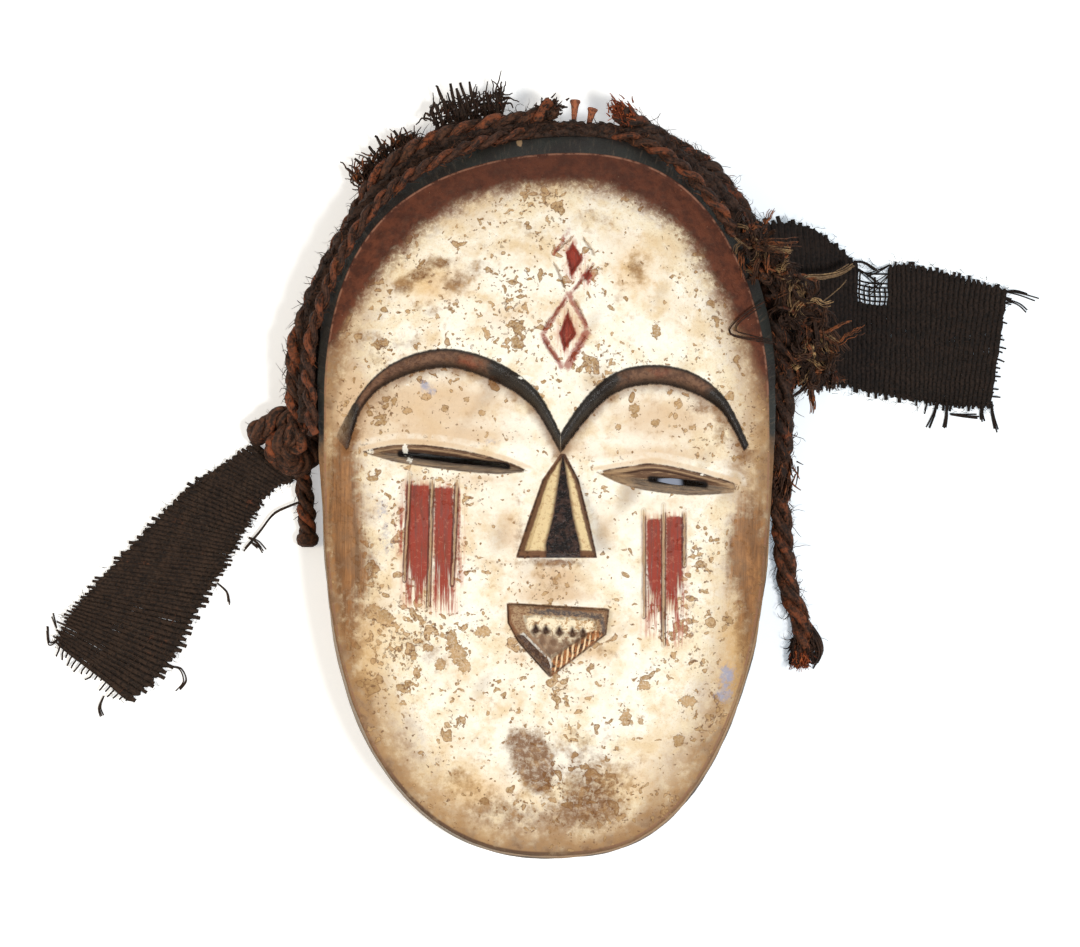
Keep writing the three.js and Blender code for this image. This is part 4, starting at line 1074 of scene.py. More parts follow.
def depthMarks(x, y, z, beyond):  # how far a point is sunk below the face, and where no kaolin reaches
    plain = face(x, y)
    bevel = m["edgeHeight"] - m["collarDrop"] / m["collarWidth"] * np.maximum(beyond, 0)
    raw = np.clip((np.where(beyond > -0.4, bevel, plain - 7) - z - 0.5) / 1.5, 0, 1)
    return {"sunk": plain - z, "raw": raw}


def eyeMarks(x, y, largest):  # how far inside a lid, how far above its slit, how close to its opening
    upper, lower, slit = ([splineThrough(eyes[side][k]) for side in ("left", "right")]
                          for k in ("upper", "lower", "slit"))
    slits = np.where(x < 5, heightOf(slit[0], x), heightOf(slit[1], x))
    opened = [np.array(eyes[side]["open"]) for side in ("left", "right")]
    gaps = [np.hypot(np.maximum(np.abs(x - span.mean()) - np.ptp(span) / 2, 0), y - slits) for span in opened]
    lids = [np.concatenate([top, foot[::-1]]) for top, foot in zip(upper, lower)]
    return {"lid": largest(lids), "lidShare": y - slits, "slit": -np.min(gaps, 0)}


def addMarks(piece):  # one attribute for each name, in mm or as a strength
    points = np.empty(len(piece.data.vertices) * 3, np.float32)
    piece.data.vertices.foreach_get("co", points)
    x, y, z = (points.reshape(-1, 3).astype(float) * 1000 - maskOrigin).T

    def largest(outlines):  # how far inside the nearest outline
        return np.max([insideBy(x, y, outline) for outline in outlines], 0)
    beyond = -insideBy(x, y, rimAt(np.linspace(0, 2 * np.pi, 360, endpoint=False)))
    top, foot = browEdges(x)
    brows = [np.concatenate([browTopLeft, browFootLeft[::-1]]),
             np.concatenate([browTopRight, browFootRight[::-1]])]
    cheekGap = np.min([lineGap(x, y, *ends) for ends in cheekMarks["lines"]], 0)
    marks = {
        "beyond": beyond, **depthMarks(x, y, z, beyond), "band": -insideBy(x, y, paint["white"]),
        "brow": largest(brows), "browAcross": np.clip((top - y) / (top - foot), -1, 2),
        **eyeMarks(x, y, largest), **{name: largest(shapes) for name, shapes in paint["outlines"].items()},
        **{name: softPatches(x, y, patches) for name, patches in paint["patches"].items()},
        "blob": softPatches(x, y, [(*blob, 1) for blob in paint["blobs"]]),
        "teeth": largest([diamond(*tooth) for tooth in paint["teeth"]]),
        "softTeeth": largest([diamond(*tooth) for tooth in paint["softTeeth"]]),
        "groove": cheekMarks["width"] * 0.5 - cheekGap,
        "redLeft": np.where(x < 0, y + 94, y + 100) + np.where(y > 0, 100, 0),
        "around": np.arctan2(x - 2, y + 45) * 95, "height": y, "sideways": x,
    }
    for name, values in marks.items():
        layer = piece.data.attributes.new(name, "FLOAT", "POINT")
        layer.data.foreach_set("value", np.asarray(values, np.float32))


maskFinish = {
    # the second white is clean kaolin and also the colour of painted highlights and glints
    "cream": (240, 225, 194), "whiteAndHighlight": (255, 251, 238), "warm": (226, 200, 160), "tan": (192, 156, 112),
    "olive": (170, 136, 92), "flakeRim": (134, 98, 62), "speck": (116, 86, 60), "stain": (116, 74, 36),
    "peach": (218, 188, 152), "amber": (226, 184, 122), "edge": (172, 134, 90), "rimBrown": (118, 82, 50),
    "woodLight": (168, 116, 70), "woodDark": (104, 66, 36), "band": (68, 31, 18), "bandWorn": (102, 52, 32),
    "fringe": (128, 92, 68), "red": (148, 48, 33), "redDeep": (114, 34, 22), "redFaint": (196, 128, 104),
    "groove": (190, 164, 130), "grooveEdge": (86, 50, 38), "brow": (116, 82, 60), "browLow": (84, 54, 38),
    "browRed": (150, 74, 48), "black": (24, 18, 16), "stripe": (66, 47, 40), "lidUpper": (112, 84, 64),
    "lidLower": (128, 112, 96), "lidTip": (176, 146, 112), "outline": (72, 48, 34), "nose": (228, 204, 156),
    "noseSide": (120, 84, 58), "collar": (40, 36, 33), "collarWorn": (88, 76, 64),
    "collarGreen": (46, 47, 43), "nickTan": (168, 138, 104), "blue": (150, 156, 182), "grey": (84, 77, 76),
    "rim": (136, 100, 72), "mouthLow": (150, 118, 92), "pit": (74, 54, 44), "mouthLeft": (128, 82, 54),
    "hatchLight": (244, 212, 168), "hatchDark": (172, 112, 68), "ridge": (150, 106, 84),
    "side": (160, 152, 136), "sideDark": (58, 44, 34), "chinEdge": (58, 42, 32), "inside": (122, 90, 60),
    "insideDark": (70, 48, 32),
}


def cover(under, mask, over):  # colours by their names in maskFinish, or as sockets
    under, over = (srgb(*maskFinish[shown]) if isinstance(shown, str) else shown for shown in (under, over))
    return blend(mask, under, over)


def layers(colour, *coats):  # each coat is a mask and the colour that it shows
    for mask, over in coats:
        colour = cover(colour, mask, over)
    return colour


def woodTone(tree, size, light, dark):
    return useGroup(tree, woodGrain, {"Size": size, "Light": srgb(*maskFinish[light]),
                                      "Dark": srgb(*maskFinish[dark])})


def sharedNoises(tree):  # the noises, marks and grain that all zones of the coat use
    place, middling = millimetres(tree), noise(millimetres(tree), 5.0, 5, 0.65)
    return SimpleNamespace(
        tree=tree, place=place, at=lambda name: mark(tree, name), fine=noise(place, 0.9, 4, 0.65),
        mottle=noise(place, 2.2, 5, 0.72, 0.3), middling=middling, clusters=noise(place, 13, 3, 0.6),
        broad=noise(place, 30, 4, 0.6), brushed=noise(millimetres(tree, (1, 0.06, 1)), 1.1, 4, 0.62),
        ragged=minus(noise(place, 1.8, 4, 0.6), 0.5),  # tears the edges of the paint
        worn=between(middling, 0.35, 0.6), grain=woodTone(tree, 1.0, "woodLight", "woodDark"))


def torn(n, name, soft=0.35, tear=1.6, shift=0.0):  # a painted outline with a worn edge
    return between(plus(n.at(name), times(n.ragged, tear)), shift - soft, shift + soft)


def cloudy(n, name, uneven, low, high, by="middling"):  # a soft patch broken up by noise
    return between(plus(n.at(name), swing(getattr(n, by), uneven)), low, high)


def kaolinCoat(n):
    # Cream and white clouds, warm in broad areas, mottled at 2 and 1 mm. Whiter towards the middle of the
    # face, a painted highlight; browner towards the edge, partly painted shade where the face turns away and
    # partly brown worn wood; then the peach patches of painted shade
    beyond = n.at("beyond")
    rim = plus(beyond, swing(n.clusters, 26))
    return layers(
        "cream",
        (between(n.broad, 0.42, 0.62, 0, 0.8), "warm"),
        (times(between(n.clusters, 0.36, 0.6), between(n.middling, 0.3, 0.64)), "whiteAndHighlight"),
        (times(between(n.mottle, 0.48, 0.64), between(n.clusters, 0.66, 0.4), 0.6), "warm"),
        (times(between(n.mottle, 0.56, 0.7), between(n.broad, 0.36, 0.56), 0.6), "tan"),
        (between(n.fine, 0.54, 0.68, 0, 0.42), "tan"),
        # painted highlight: whiter away from the edge, in the middle of the face
        (times(between(beyond, -14, -46), between(n.clusters, 0.3, 0.55), 0.6), "whiteAndHighlight"),
        (times(between(n.broad, 0.5, 0.62), between(n.middling, 0.4, 0.6), 0.5), "warm"),
        # painted shade where the face turns away at its edge, in two steps, with brown worn wood along it
        (times(between(rim, -26, -2), between(n.middling, 0.3, 0.56, 0.5, 1), 0.95), "edge"),
        (times(between(rim, -9, 3), between(n.middling, 0.56, 0.4, 0.45, 1), 0.9), "rimBrown"),
        # peach patches, mostly painted shade under the brows and round the eyes, nose and mouth
        (times(cloudy(n, "peach", 0.9, 0.1, 0.9), 0.85), "peach"),
        (times(cloudy(n, "amber", 1.3, 0.1, 1.0), 0.7), "amber"))


def flakedSpots(n, colour):
    # Flaked spots in three sizes, with darker rims, and the large ones in their own places
    specks, small, large = (useGroup(n.tree, flakes, {"Size": size, "Share": share})
                            for size, share in ((1.6, 0.2), (3.0, 0.25), (6.5, 0.2)))
    blob = plus(n.at("blob"), times(n.ragged, 1.3))
    n.spots = most(small["Mask"], large["Mask"], between(blob, 0.4, 0.46))
    rims = most(small["Rim"], large["Rim"], line(blob, 0.4, 0.06))
    return layers(
        colour,
        (times(n.spots, between(n.fine, 0.3, 0.6, 0.6, 1)),
         cover("tan", between(n.clusters, 0.45, 0.6), "olive")),
        (times(rims, between(n.fine, 0.35, 0.6, 0.25, 0.85)), "flakeRim"),
        (times(specks["Mask"], between(n.mottle, 0.4, 0.6, 0.3, 0.9)), "speck"))


def stainsShadeAndBareWood(n, colour):
    # Brown stains with some painted shade by the nose, bare wood at the sides, blue-grey smudges, and painted
    # shade in the cuts and recesses, browner the deeper they are sunk
    bare = plus(n.at("bare"), swing(n.brushed, 0.5), swing(n.middling, 1.5), swing(n.mottle, 0.4))
    n.bare = between(bare, 0.1, 1.0)
    stainAndShadeMask = times(cloudy(n, "stain", 1.7, 0.15, 0.85), between(n.mottle, 0.36, 0.56, 0.66, 1.0), 0.92)
    return layers(
        colour,
        (stainAndShadeMask, cover("stain", between(n.middling, 0.48, 0.7, 0, 0.8), "edge")),
        (times(n.bare, 0.88), cover(n.grain["Color"], between(n.middling, 0.6, 0.4, 0, 0.5), "woodDark")),
        (times(cloudy(n, "blue", 1.6, 0.25, 0.9, "mottle"), 0.8), "blue"),
        # painted shade: browner the deeper a point is sunk below the face
        (between(n.at("sunk"), 0.2, 0.9, 0, 0.5), "stain"))


def redBand(n, colour):
    # Red-brown band below the ridge, with a soft brown fringe and worn spots
    band = plus(n.at("band"), swing(n.clusters, 6.0), swing(n.middling, 5.0))
    bandColour = layers("band", (between(n.middling, 0.36, 0.66), "bandWorn"),
                        (between(n.at("height"), 50, 110, 0, 0.5), "band"))
    return layers(
        colour,
        (times(between(band, -8.0, 1), between(n.mottle, 0.36, 0.56), 0.8), "fringe"),
        (between(band, -3.6, 3.2, 0, 0.97), bandColour),
        (times(between(band, 0, 2), between(n.mottle, 0.68, 0.72), 0.55), "warm"))


def redPaint(n, colour):
    # Red panels and lozenges, in upright brush strokes that run dry at the lower end, and the cut cheek lines
    red, groove = n.at("red"), n.at("groove")
    dry = between(plus(n.at("redLeft"), swing(n.brushed, 70)), -4, 18)
    inRed = between(plus(red, swing(n.middling, 3)), -2.4, -0.6)
    strokes = layers("redDeep", (between(n.brushed, 0.34, 0.62), "red"),
                     (times(between(n.mottle, 0.56, 0.64), 0.3), "redFaint"))
    return layers(
        colour,
        (times(between(red, -4, 0.5), between(n.brushed, 0.42, 0.6), 0.6), "redFaint"),
        (times(torn(n, "red", 0.7, 2.4), dry, 0.95), strokes),
        (times(torn(n, "rust", 0.7, 2.6), 0.75), "red"),
        (times(line(groove, 0.1, 0.5), between(inRed, 0, 1, 0.2, 0.8)), "grooveEdge"),
        (times(between(groove, 0.35, 0.75), between(inRed, 0, 1, 0.55, 0.95)), "groove"))


def eyePaint(n, colour):
    # A pale line above the lids, a painted highlight where a ridge would catch the light, though no ridge is
    # carved, with a peach line of painted shade below it; the lids brown above, grey below, pale at their
    # tips, black at the slit; white nicks, partly painted glints
    lid, share, slit = n.at("lid"), n.at("lidShare"), n.at("slit")
    above = between(share, 0.4, 2.0)
    streaked = noise(millimetres(n.tree, (0.1, 1, 1)), 0.8, 4, 0.65)
    n.nick = cloudy(n, "nick", 1.4, 0.4, 0.6, "fine")
    lidColour = layers(
        "lidLower",
        (between(share, -0.1, 0.3), "lidUpper"),
        (between(slit, -5, -13, 0, 0.85), "lidTip"),
        (between(streaked, 0.5, 0.64, 0, 0.6), "outline"),
        (between(streaked, 0.46, 0.36, 0, 0.7), "lidTip"),
        (times(line(lid, 1.5, 0.5), between(share, -0.6, 0.6, 0.4, 1), 0.7), "lidTip"),
        (times(line(lid, 2.6, 0.6), above), "outline"),
        (between(slit, -2.2, -0.9), "black"))
    return layers(
        colour,
        # painted highlight of a ridge above the lids
        (times(line(lid, -3.8, 1.9), above, n.worn, 0.4), "whiteAndHighlight"),
        # painted shade just above the upper lids
        (times(line(lid, -1.2, 1.6), above, 0.6), "peach"),
        (torn(n, "lid", 0.25, 0.5), lidColour),
        (times(line(lid, 0.1, 0.6), n.worn, between(share, -0.6, 0.6, 0.35, 0.95)), "outline"),
        (times(n.nick, 0.8), "whiteAndHighlight"))


def browPaint(n, colour):
    # Brown in their middles, near black where they meet and at the outer ends, dark along both edges; a brown
    # halo below them, partly stain and partly painted shade under the brow; white nicks, partly painted
    # glints
    across = n.at("browAcross")
    tone = plus(n.at("browTone"), swing(noise(n.place, 7, 3, 0.6), 0.6))
    edges = most(between(across, 0.5, 0.95), between(across, 0.24, 0.04))
    n.browDark = most(between(tone, 0.25, 0.6), times(edges, 0.9))
    n.brow = times(torn(n, "brow", 0.3, 1.0), between(n.at("sideways"), -93, -82, 0.25, 1))
    browColour = layers("brow", (between(n.mottle, 0.42, 0.6), "browLow"),
                        (times(cloudy(n, "browRed", 1.0, 0.2, 0.8), 0.8), "browRed"), (n.browDark, "black"))
    # partly stain, partly painted shade below each brow
    stainAndShadeBelow = times(cloudy(n, "brow", 5, -5.0, 0.5), between(across, 0.5, 0.9), 0.8)
    return layers(colour, (stainAndShadeBelow, "stain"), (times(n.brow, 0.98), browColour),
                  (times(n.brow, n.nick), "whiteAndHighlight"))


def nosePaint(n, colour):
    # Cream facets with brown edges beside a black stripe
    n.nose, n.stripe = torn(n, "noseAll", 0.3, 0.4, -0.3), torn(n, "stripe", 0.3, 0.9)
    noseColour = layers(
        "noseSide",
        (torn(n, "noseFront", 0.5, 1.4, 0.4), cover("nose", between(n.mottle, 0.52, 0.6, 0, 0.7), "tan")),
        (times(line(n.at("noseAll"), 0.1, 1.0), between(n.mottle, 0.4, 0.55)), "outline"),
        (between(n.at("stripe"), -1.6, 0.1, 0, 0.85), "browLow"),
        (n.stripe, cover("black", between(n.mottle, 0.44, 0.6), "stripe")),
        (times(n.stripe, between(n.fine, 0.7, 0.73, 0, 0.7)), "whiteAndHighlight"))
    return cover(colour, n.nose, noseColour)


def hatching(n):  # pale and dark slanted bars
    turned = node(n.tree, "Mapping", {"Vector": n.place, "Rotation": (0, 0, 0.15)}).outputs[0]
    bands = node(n.tree, "TexWave", {"Vector": turned, "Scale": 0.15, "Distortion": 2.5, "Detail": 2.0},
                 bands_direction="X").outputs["Fac"]
    return layers("hatchDark", (between(n.mottle, 0.45, 0.6), "outline"),
                  (times(between(bands, 0.5, 0.9), between(n.middling, 0.35, 0.55)), "hatchLight"))


def mouthPaint(n, colour):
    # Brown left rim, black lower left, hatched lower right, grey above, cream field with dark teeth
    inside = n.at("mouthAll")
    walls = times(between(inside, 1.6, 2.6), between(n.mottle, 0.4, 0.5, 0.6, 1))
    glint = times(line(n.at("mouthDark"), 0.2, 0.7), between(n.mottle, 0.42, 0.52))
    mouthColour = layers(
        cover("rim", between(n.mottle, 0.5, 0.6), "lidTip"),
        (walls, cover("lidTip", between(n.fine, 0.45, 0.6), "rim")),
        (torn(n, "mouthField", 0.6, 1.4, -0.9), cover("cream", between(n.mottle, 0.5, 0.6), "tan")),
        (times(cloudy(n, "mouthShade", 2.4, 0.15, 0.8, "mottle"), 0.85), "mouthLow"),
        (times(torn(n, "mouthGrey", 0.8, 3.4), between(n.fine, 0.35, 0.6, 0.5, 0.95)), "grey"),
        (times(torn(n, "mouthLeft", 0.7, 1.2), 0.8), "mouthLeft"),
        (torn(n, "mouthDark", 0.8, 2.4), cover("lidUpper", between(n.mottle, 0.4, 0.56), "outline")),
        (times(glint, between(inside, 2.2, 3.2), 0.6), "whiteAndHighlight"),
        (torn(n, "hatch", 0.5, 1.4), hatching(n)),
        (times(torn(n, "softTeeth", 0.9, 1.6), 0.85), "lidUpper"),
        (torn(n, "teeth", 0.9, 1.2), cover("pit", between(n.at("height"), -101.6, -105), "lidUpper")),
        (times(line(inside, 0.4, 0.9), n.worn, 0.8), "outline"),
        (times(line(n.at("mouthField"), -0.3, 0.9), n.worn, 0.5), "outline"))
    return cover(colour, torn(n, "mouthAll", 0.3, 0.4), mouthColour)


def ridgeAndCollar(n, colour):
    # The worn ridge, and the near black collar with rubbed streaks across it
    beyond = n.at("beyond")
    ring = node(n.tree, "CombineXYZ", {0: n.at("around"), 1: times(beyond, 0.12)}).outputs[0]
    collarColour = layers("collar", (between(n.broad, 0.42, 0.6), "collarGreen"),
                          (between(noise(ring, 0.9, 4, 0.7), 0.52, 0.72, 0, 0.8), "collarWorn"),
                          (between(n.at("collarNick"), 0.4, 0.6), "nickTan"))
    upper = between(plus(n.at("height"), swing(n.middling, 20)), -32, -16)
    n.collar = times(between(beyond, 0.15, 0.5), upper)
    return layers(colour, (times(line(beyond, -0.15, 0.6), between(n.middling, 0.4, 0.55), 0.7), "ridge"),
                  (n.collar, collarColour))


def lowerEdge(n, colour):
    # A dark line along the lower edge, strong at the left and at the chin
    height, sideways = n.at("height"), n.at("sideways")
    dark = times(between(height, -20, -60),
                 most(between(sideways, -50, 10, 0.2, 1), between(height, -150, -175)),
                 between(sideways, -20, 50, 0.75, 0.15), between(n.at("beyond"), -1.1, -0.1),
                 between(n.middling, 0.35, 0.5, 0.6, 1))
    return cover(colour, dark, "chinEdge")


def wallAndBack(n, colour):
    # The brushed side wall, browner at the right and below, dark at its foot, and the plain wood inside
    height, sideways = n.at("height"), n.at("sideways")
    level = node(n.tree, "SeparateXYZ", {0: n.place}).outputs[2]
    foot = between(plus(level, swing(n.clusters, 12)), 27, 15, 0.05, 0.92)
    lower = most(times(between(sideways, 20, 60), between(height, -20, -70)),
                 times(between(height, -140, -170), between(sideways, -40, 0)))
    wall = layers(
        n.grain["Color"],
        (times(between(n.broad, 0.3, 0.7, 0.7, 0.95), between(n.brushed, 0.35, 0.6, 0.55, 1)), "side"),
        (between(sideways, -30, 30, 0, 0.6), "woodDark"),
        (times(lower, 0.8), "edge"),
        (times(foot, between(sideways, -60, 0, 0.3, 1)), "sideDark"))
    inside = woodTone(n.tree, 0.7, "inside", "insideDark")["Color"]
    return cover(colour, n.at("raw"), blend(between(n.at("beyond"), -1.5, 0.0), inside, wall))


def coatRoughness(n):  # dark paint is glossy, the rest matt
    gloss = most(times(n.brow, n.browDark), times(n.nose, n.stripe), torn(n, "mouthDark", 0.3, 0.4),
                 times(n.collar, minus(1.0, n.at("raw")), 0.35))
    return plus(between(gloss, 0, 1, 0.74, 0.27), swing(n.fine, 0.25))


def coatBump(n):  # a little crusty, sunk where it has flaked, rounded on the brows
    fromMiddle = minus(n.at("browAcross"), 0.5)
    crust = plus(times(n.fine, 0.2), times(n.mottle, 0.45))
    rounded = minus(crust, times(n.brow, fromMiddle, fromMiddle, 5.0))
    height = plus(minus(rounded, times(n.spots, 0.16)),
                  times(n.grain["Height"], most(n.bare, n.at("raw")), 0.6), times(n.brushed, 0.15))
    return bumped(height, Distance=0.001, Strength=1.0)


def maskMaterial():
    material, tree = newMaterial("kaolin on wood")
    n = sharedNoises(tree)
    colour = kaolinCoat(n)
    for zone in (flakedSpots, stainsShadeAndBareWood, redBand, redPaint, eyePaint, browPaint, nosePaint,
                 mouthPaint, ridgeAndCollar, lowerEdge, wallAndBack):
        colour = zone(n, colour)
    surface(tree, colour, coatRoughness(n), 0.28, Normal=coatBump(n))
    return material


def makeMask():
    woodenMask = carvedMask()
    addMarks(woodenMask)
    woodenMask.data.materials.clear()
    woodenMask.data.materials.append(maskMaterial())
    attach(woodenMask, "root")
    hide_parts("wooden_mask")
    print("mask painted")


makeMask()


# The ropes round the head, placed on the rim: [degrees, distance beyond the collar, height over its lip]
headRopes = {
    "left": [(91.2, 13.6, -4.5), (93.4, 10.8, -6), (97, 8.6, -8), (104, 8.8, -8.5), (113, 9.9, -8.5),
             (123, 9.9, -9), (130, 8.7, -9.5), (136, 5, -10.5), (142, 3.2, -11), (150, 3.2, -11),
             (158, 4.8, -10.5), (165, 7.4, -9.5), (171, 9.7, -9), (178, 10.3, -12), (183.5, 10, -17)],
    "right": [(78.4, 13.4, -4), (76.2, 10.8, -6.5), (72, 8.4, -8.5), (66, 6.4, -9.5), (58, 7, -9.5),
              (50, 7, -9.5), (42, 6.4, -10), (34, 5.8, -10.5), (24, 5.0, -11), (13, 4.6, -12),
              (3, 4.8, -14), (-3, 4.8, -15.8), (-7.4, 4.8, -17.4)],
    "thin": [(183, 2.2, 3.4), (176, 3.9, 1.6), (170, 3.7, 1.8), (163, 1.4, 4.4), (155, -0.2, 6),
             (147, -1.3, 7.3), (139, -1, 7), (130, -0.2, 6.2), (120, 0.2, 5.8), (110, 1.2, 4.6),
             (102, 2.4, 0.8), (93, 3.2, -4.2), (83, 3.2, -4.6), (74, 2, 0), (65, 0.2, 5.8), (56, -1.5, 7.6),
             (47, -2.6, 8.8), (40, -2.4, 8.6), (37.5, -1.2, 8)],
    "bedding": [(182, 4.4, -6), (165, 4, -6), (150, 1.4, -4), (135, 1.6, -4), (120, 4, -5),
                (105, 3.6, -4.5), (90, 2.4, -4.5), (78, 2.6, -4.5), (66, 2.6, -4), (52, 2, -3.5),
                (40, 2, -4)],
    "knotLead": (-112, -19, 15),
    "diameter": 9.6, "thinDiameter": 6.0, "pitch": 27.0, "thinPitch": 17.0, "hairs": 900,
}

# The knot at the left: the rope turns round itself, ends in a ball stub, and a whipped tail hangs from it
knot = {
    "turns": [(-105, -2, 17), (-109, -12, 17.5), (-114.5, -24, 16.5), (-113, -32, 11), (-106, -31, 8.5),
              (-103.6, -22, 10), (-107, -13.5, 15), (-115, -11, 17), (-122, -15, 14), (-127.8, -17.4, 10.4),
              (-130.5, -18.4, 8.6)],
    "wrap": [(-104.5, -17, 7), (-105.5, -14.5, 15), (-111, -16.5, 20.5), (-117.5, -22, 18),
             (-119.5, -27.5, 9.5), (-114, -30.5, 5.5)],
    "tail": [(-112, -17, 8), (-110, -24, 9.5), (-108, -34, 6.8), (-107, -44, 4.9), (-106.4, -54, 4.6),
             (-105.6, -66, 4.7)],
    "diameter": 10.2, "tailDiameter": 8.2, "pitch": 20.0, "knob": (-105.9, -65.0, 5.0), 
    "ball": (-127.4, -17.8, 8.6),
}


def knobBar():  # the whipping at the end of the tail
    places = np.array(knot["knob"]) + np.array([[0.3, 3.2, 0], [0.2, 1.5, 0], [0, 0, 0], [0, -2, 0],
                                                [0, -3.2, 0]])
    return {"paths": places[None], "wide": np.array([[3.6, 4.9, 5.0, 4.4, 2.4]]), "sides": 20,
            "high": np.array([[3.4, 4.6, 4.7, 4.2, 2.2]]), "tone": 0.1}


def ballBar():  # the stub beside the knot, as wide as sqrt(1 - s^2)
    lump = np.sqrt(np.clip(1 - np.linspace(-0.98, 0.98, 13) ** 2, 0, 1))
    places = np.array(knot["ball"]) + np.linspace(-1, 1, 13)[:, None] * [-4.6, -0.8, -0.6]
    return {"paths": places[None], "wide": 5.6 * lump[None], "high": 5.4 * lump[None], "sides": 20,
            "tone": 0.6, "ridges": 3, "ridgeDepth": 0.07, "ridgeLay": 14.0}


def makeBedding():  # matted fibre between the collar and the ropes
    path = route(beside(headRopes["bedding"]), 1.2)
    steps = np.arange(len(path))
    mat = {"paths": path[None], "wide": 4.6 + 0.7 * waver(steps, (9, 5, 3), 46)[None], "sides": 24,
           "high": 3.2 + 0.4 * waver(steps, (7, 4), 47)[None], "ridges": 7, "ridgeDepth": 0.1}
    hairs = ropeHairs(path, 8.5, 1500, (2, 7), 48, thickness=(0.2, 0.5))
    addBars("rope_bedding", [mat, hairs], darkFibre)


def makeHeadRopes():
    width, pitch, count = headRopes["diameter"], headRopes["pitch"], headRopes["hairs"]
    knotWidth, knotPitch = knot["diameter"], knot["pitch"]
    left = route(np.concatenate([beside(headRopes["left"]), [headRopes["knotLead"]]]), 0.9)
    right = route(beside(headRopes["right"]), 0.9)
    thin = route(beside(headRopes["thin"]), 0.7)
    turns, wrap, tail = (route(knot[part], 0.8) for part in ("turns", "wrap", "tail"))
    leftBars = [ballBar(), ropeBars(left, width, pitch, 31),
                ropeBars(turns, knotWidth, knotPitch, 32, ends=(1, 0.45)),
                ropeBars(wrap, knotWidth, knotPitch, 33), knobBar(),
                ropeBars(tail, knot["tailDiameter"], knotPitch, 34, ends=(1, 0.8))]
    thinBars = ropeBars(thin, headRopes["thinDiameter"], headRopes["thinPitch"], 51, 2, sides=16)
    leftHairs = [ropeHairs(left, width, count, (3, 9), 35), ropeHairs(turns, 9, 160, (3, 7), 36),
                 ropeHairs(tail, 8, 90, (2, 6), 37, floor=0.4),
                 frayedEnd(left, 0.35, 200, (1, 3), 38, (0.4, 0.9))]
    rightHairs = [ropeHairs(right, width, count, (3, 9), 42),
                  frayedEnd(right[::-1], 0.25, 240, (4, 9), 44, (0.35, 0.7), 10)]
    fray = frayedEnd(right, 0.32, 230, (1.5, 5.5), 43, (0.3, 0.6), 8)
    addBars("left_rope", leftBars, warmFibre, "thick_rope_left")
    addBars("right_rope", [ropeBars(right, width, pitch, 41)], darkFibre, "thick_rope_right")
    addBars("plied_rope", [thinBars], brownFibre, "thin_rope")
    addBars("left_rope_hairs", leftHairs, darkFibre)
    addBars("right_rope_hairs", rightHairs, looseFibre)
    addBars("right_rope_fray", [fray], orangeFibre)
    addBars("plied_rope_hairs", [ropeHairs(thin, 6, 520, (2, 7), 52)], looseFibre)
    print("head ropes and knot done")


makeBedding()
makeHeadRopes()

# Loose fibre at the end of the thin rope: [centre, half width, half thickness]
tuft = {
    "stations": [(83, 67, 42.6, 2.8, 2.4), (92.5, 57.4, 40.8, 6, 3), (102.5, 46.4, 38, 8.4, 3.4),
                 (110, 34.4, 34, 9.4, 3.6), (114.6, 22, 29, 9.2, 3.4), (116.8, 10, 23.4, 8, 2.8),
                 (117.4, 0, 19, 5.6, 1.8)],
    "copies": 6, "steps": 12,
    "loops": [[(93, 38, 41), (87.5, 34.6, 44.6), (82, 30.6, 46.6), (77.6, 26.2, 47.2), (78.2, 23.6, 47.2),
               (83, 22.2, 46.8), (89, 21.2, 45.4), (97, 20, 40)],
              [(91.5, 35.6, 42), (86, 31.8, 45.2), (81, 27.6, 46.4), (80.4, 25, 46.6), (84, 23.8, 46.2),
               (90, 22.8, 44.6), (96, 22, 40)]],
    "reaching": [(104, 43, 41), (106, 46.5, 38), (112, 49.5, 32), (119, 50, 26), (127, 52, 20),
                 (133, 55.5, 16)],
    "arc": [(106, 36, 37), (112, 34.5, 33), (119, 38, 26), (126, 44, 20), (130, 48, 17)],
}


def tangle(count, thickness, length, seed):  # locks of several strands, which leave the core at all angles
    random = np.random.default_rng(seed)
    copies, steps = tuft["copies"], tuft["steps"]
    core = splineThrough(tuft["stations"], 12)
    along = unit(np.gradient(core[:, :3], axis=0))
    at = random.uniform(0, 0.9, count) * (len(core) - 1)
    place, lead = (np.stack([np.interp(at, np.arange(len(core)), column) for column in line.T], -1)
                   for line in (core, along))
    across = unit(np.cross(lead, (0, 0, 1)))
    spread = random.normal(0, 0.5, (count, 2)).clip(-1, 1)
    aside, above = spread[:, :1] * place[:, 3:4], spread[:, 1:] * place[:, 4:5]
    roots = place[:, :3] + across * aside + (0, 0, 1) * above
    aims = unit(lead + random.normal(0, 0.65, (count, 3)) * (1, 1, 0.4))
    lengths = mix(*length, random.uniform(0, 1, count) ** 2)
    locks = fibres(roots, aims, lengths, thickness, seed + 1, steps, 0.95, floor=0.4, sides=4)
    apart = random.normal(0, 0.55, (count, copies, 1, 3)) * np.linspace(0.5, 1.5, steps)[:, None]
    paths = (locks["paths"][:, None] + apart).reshape(-1, steps, 3)
    wide = np.repeat(locks["wide"], copies, 0) * random.uniform(0.6, 1.1, (len(paths), 1))
    return {"paths": paths, "wide": wide, "high": wide, "sides": 4, "tone": np.repeat(locks["tone"], copies)}


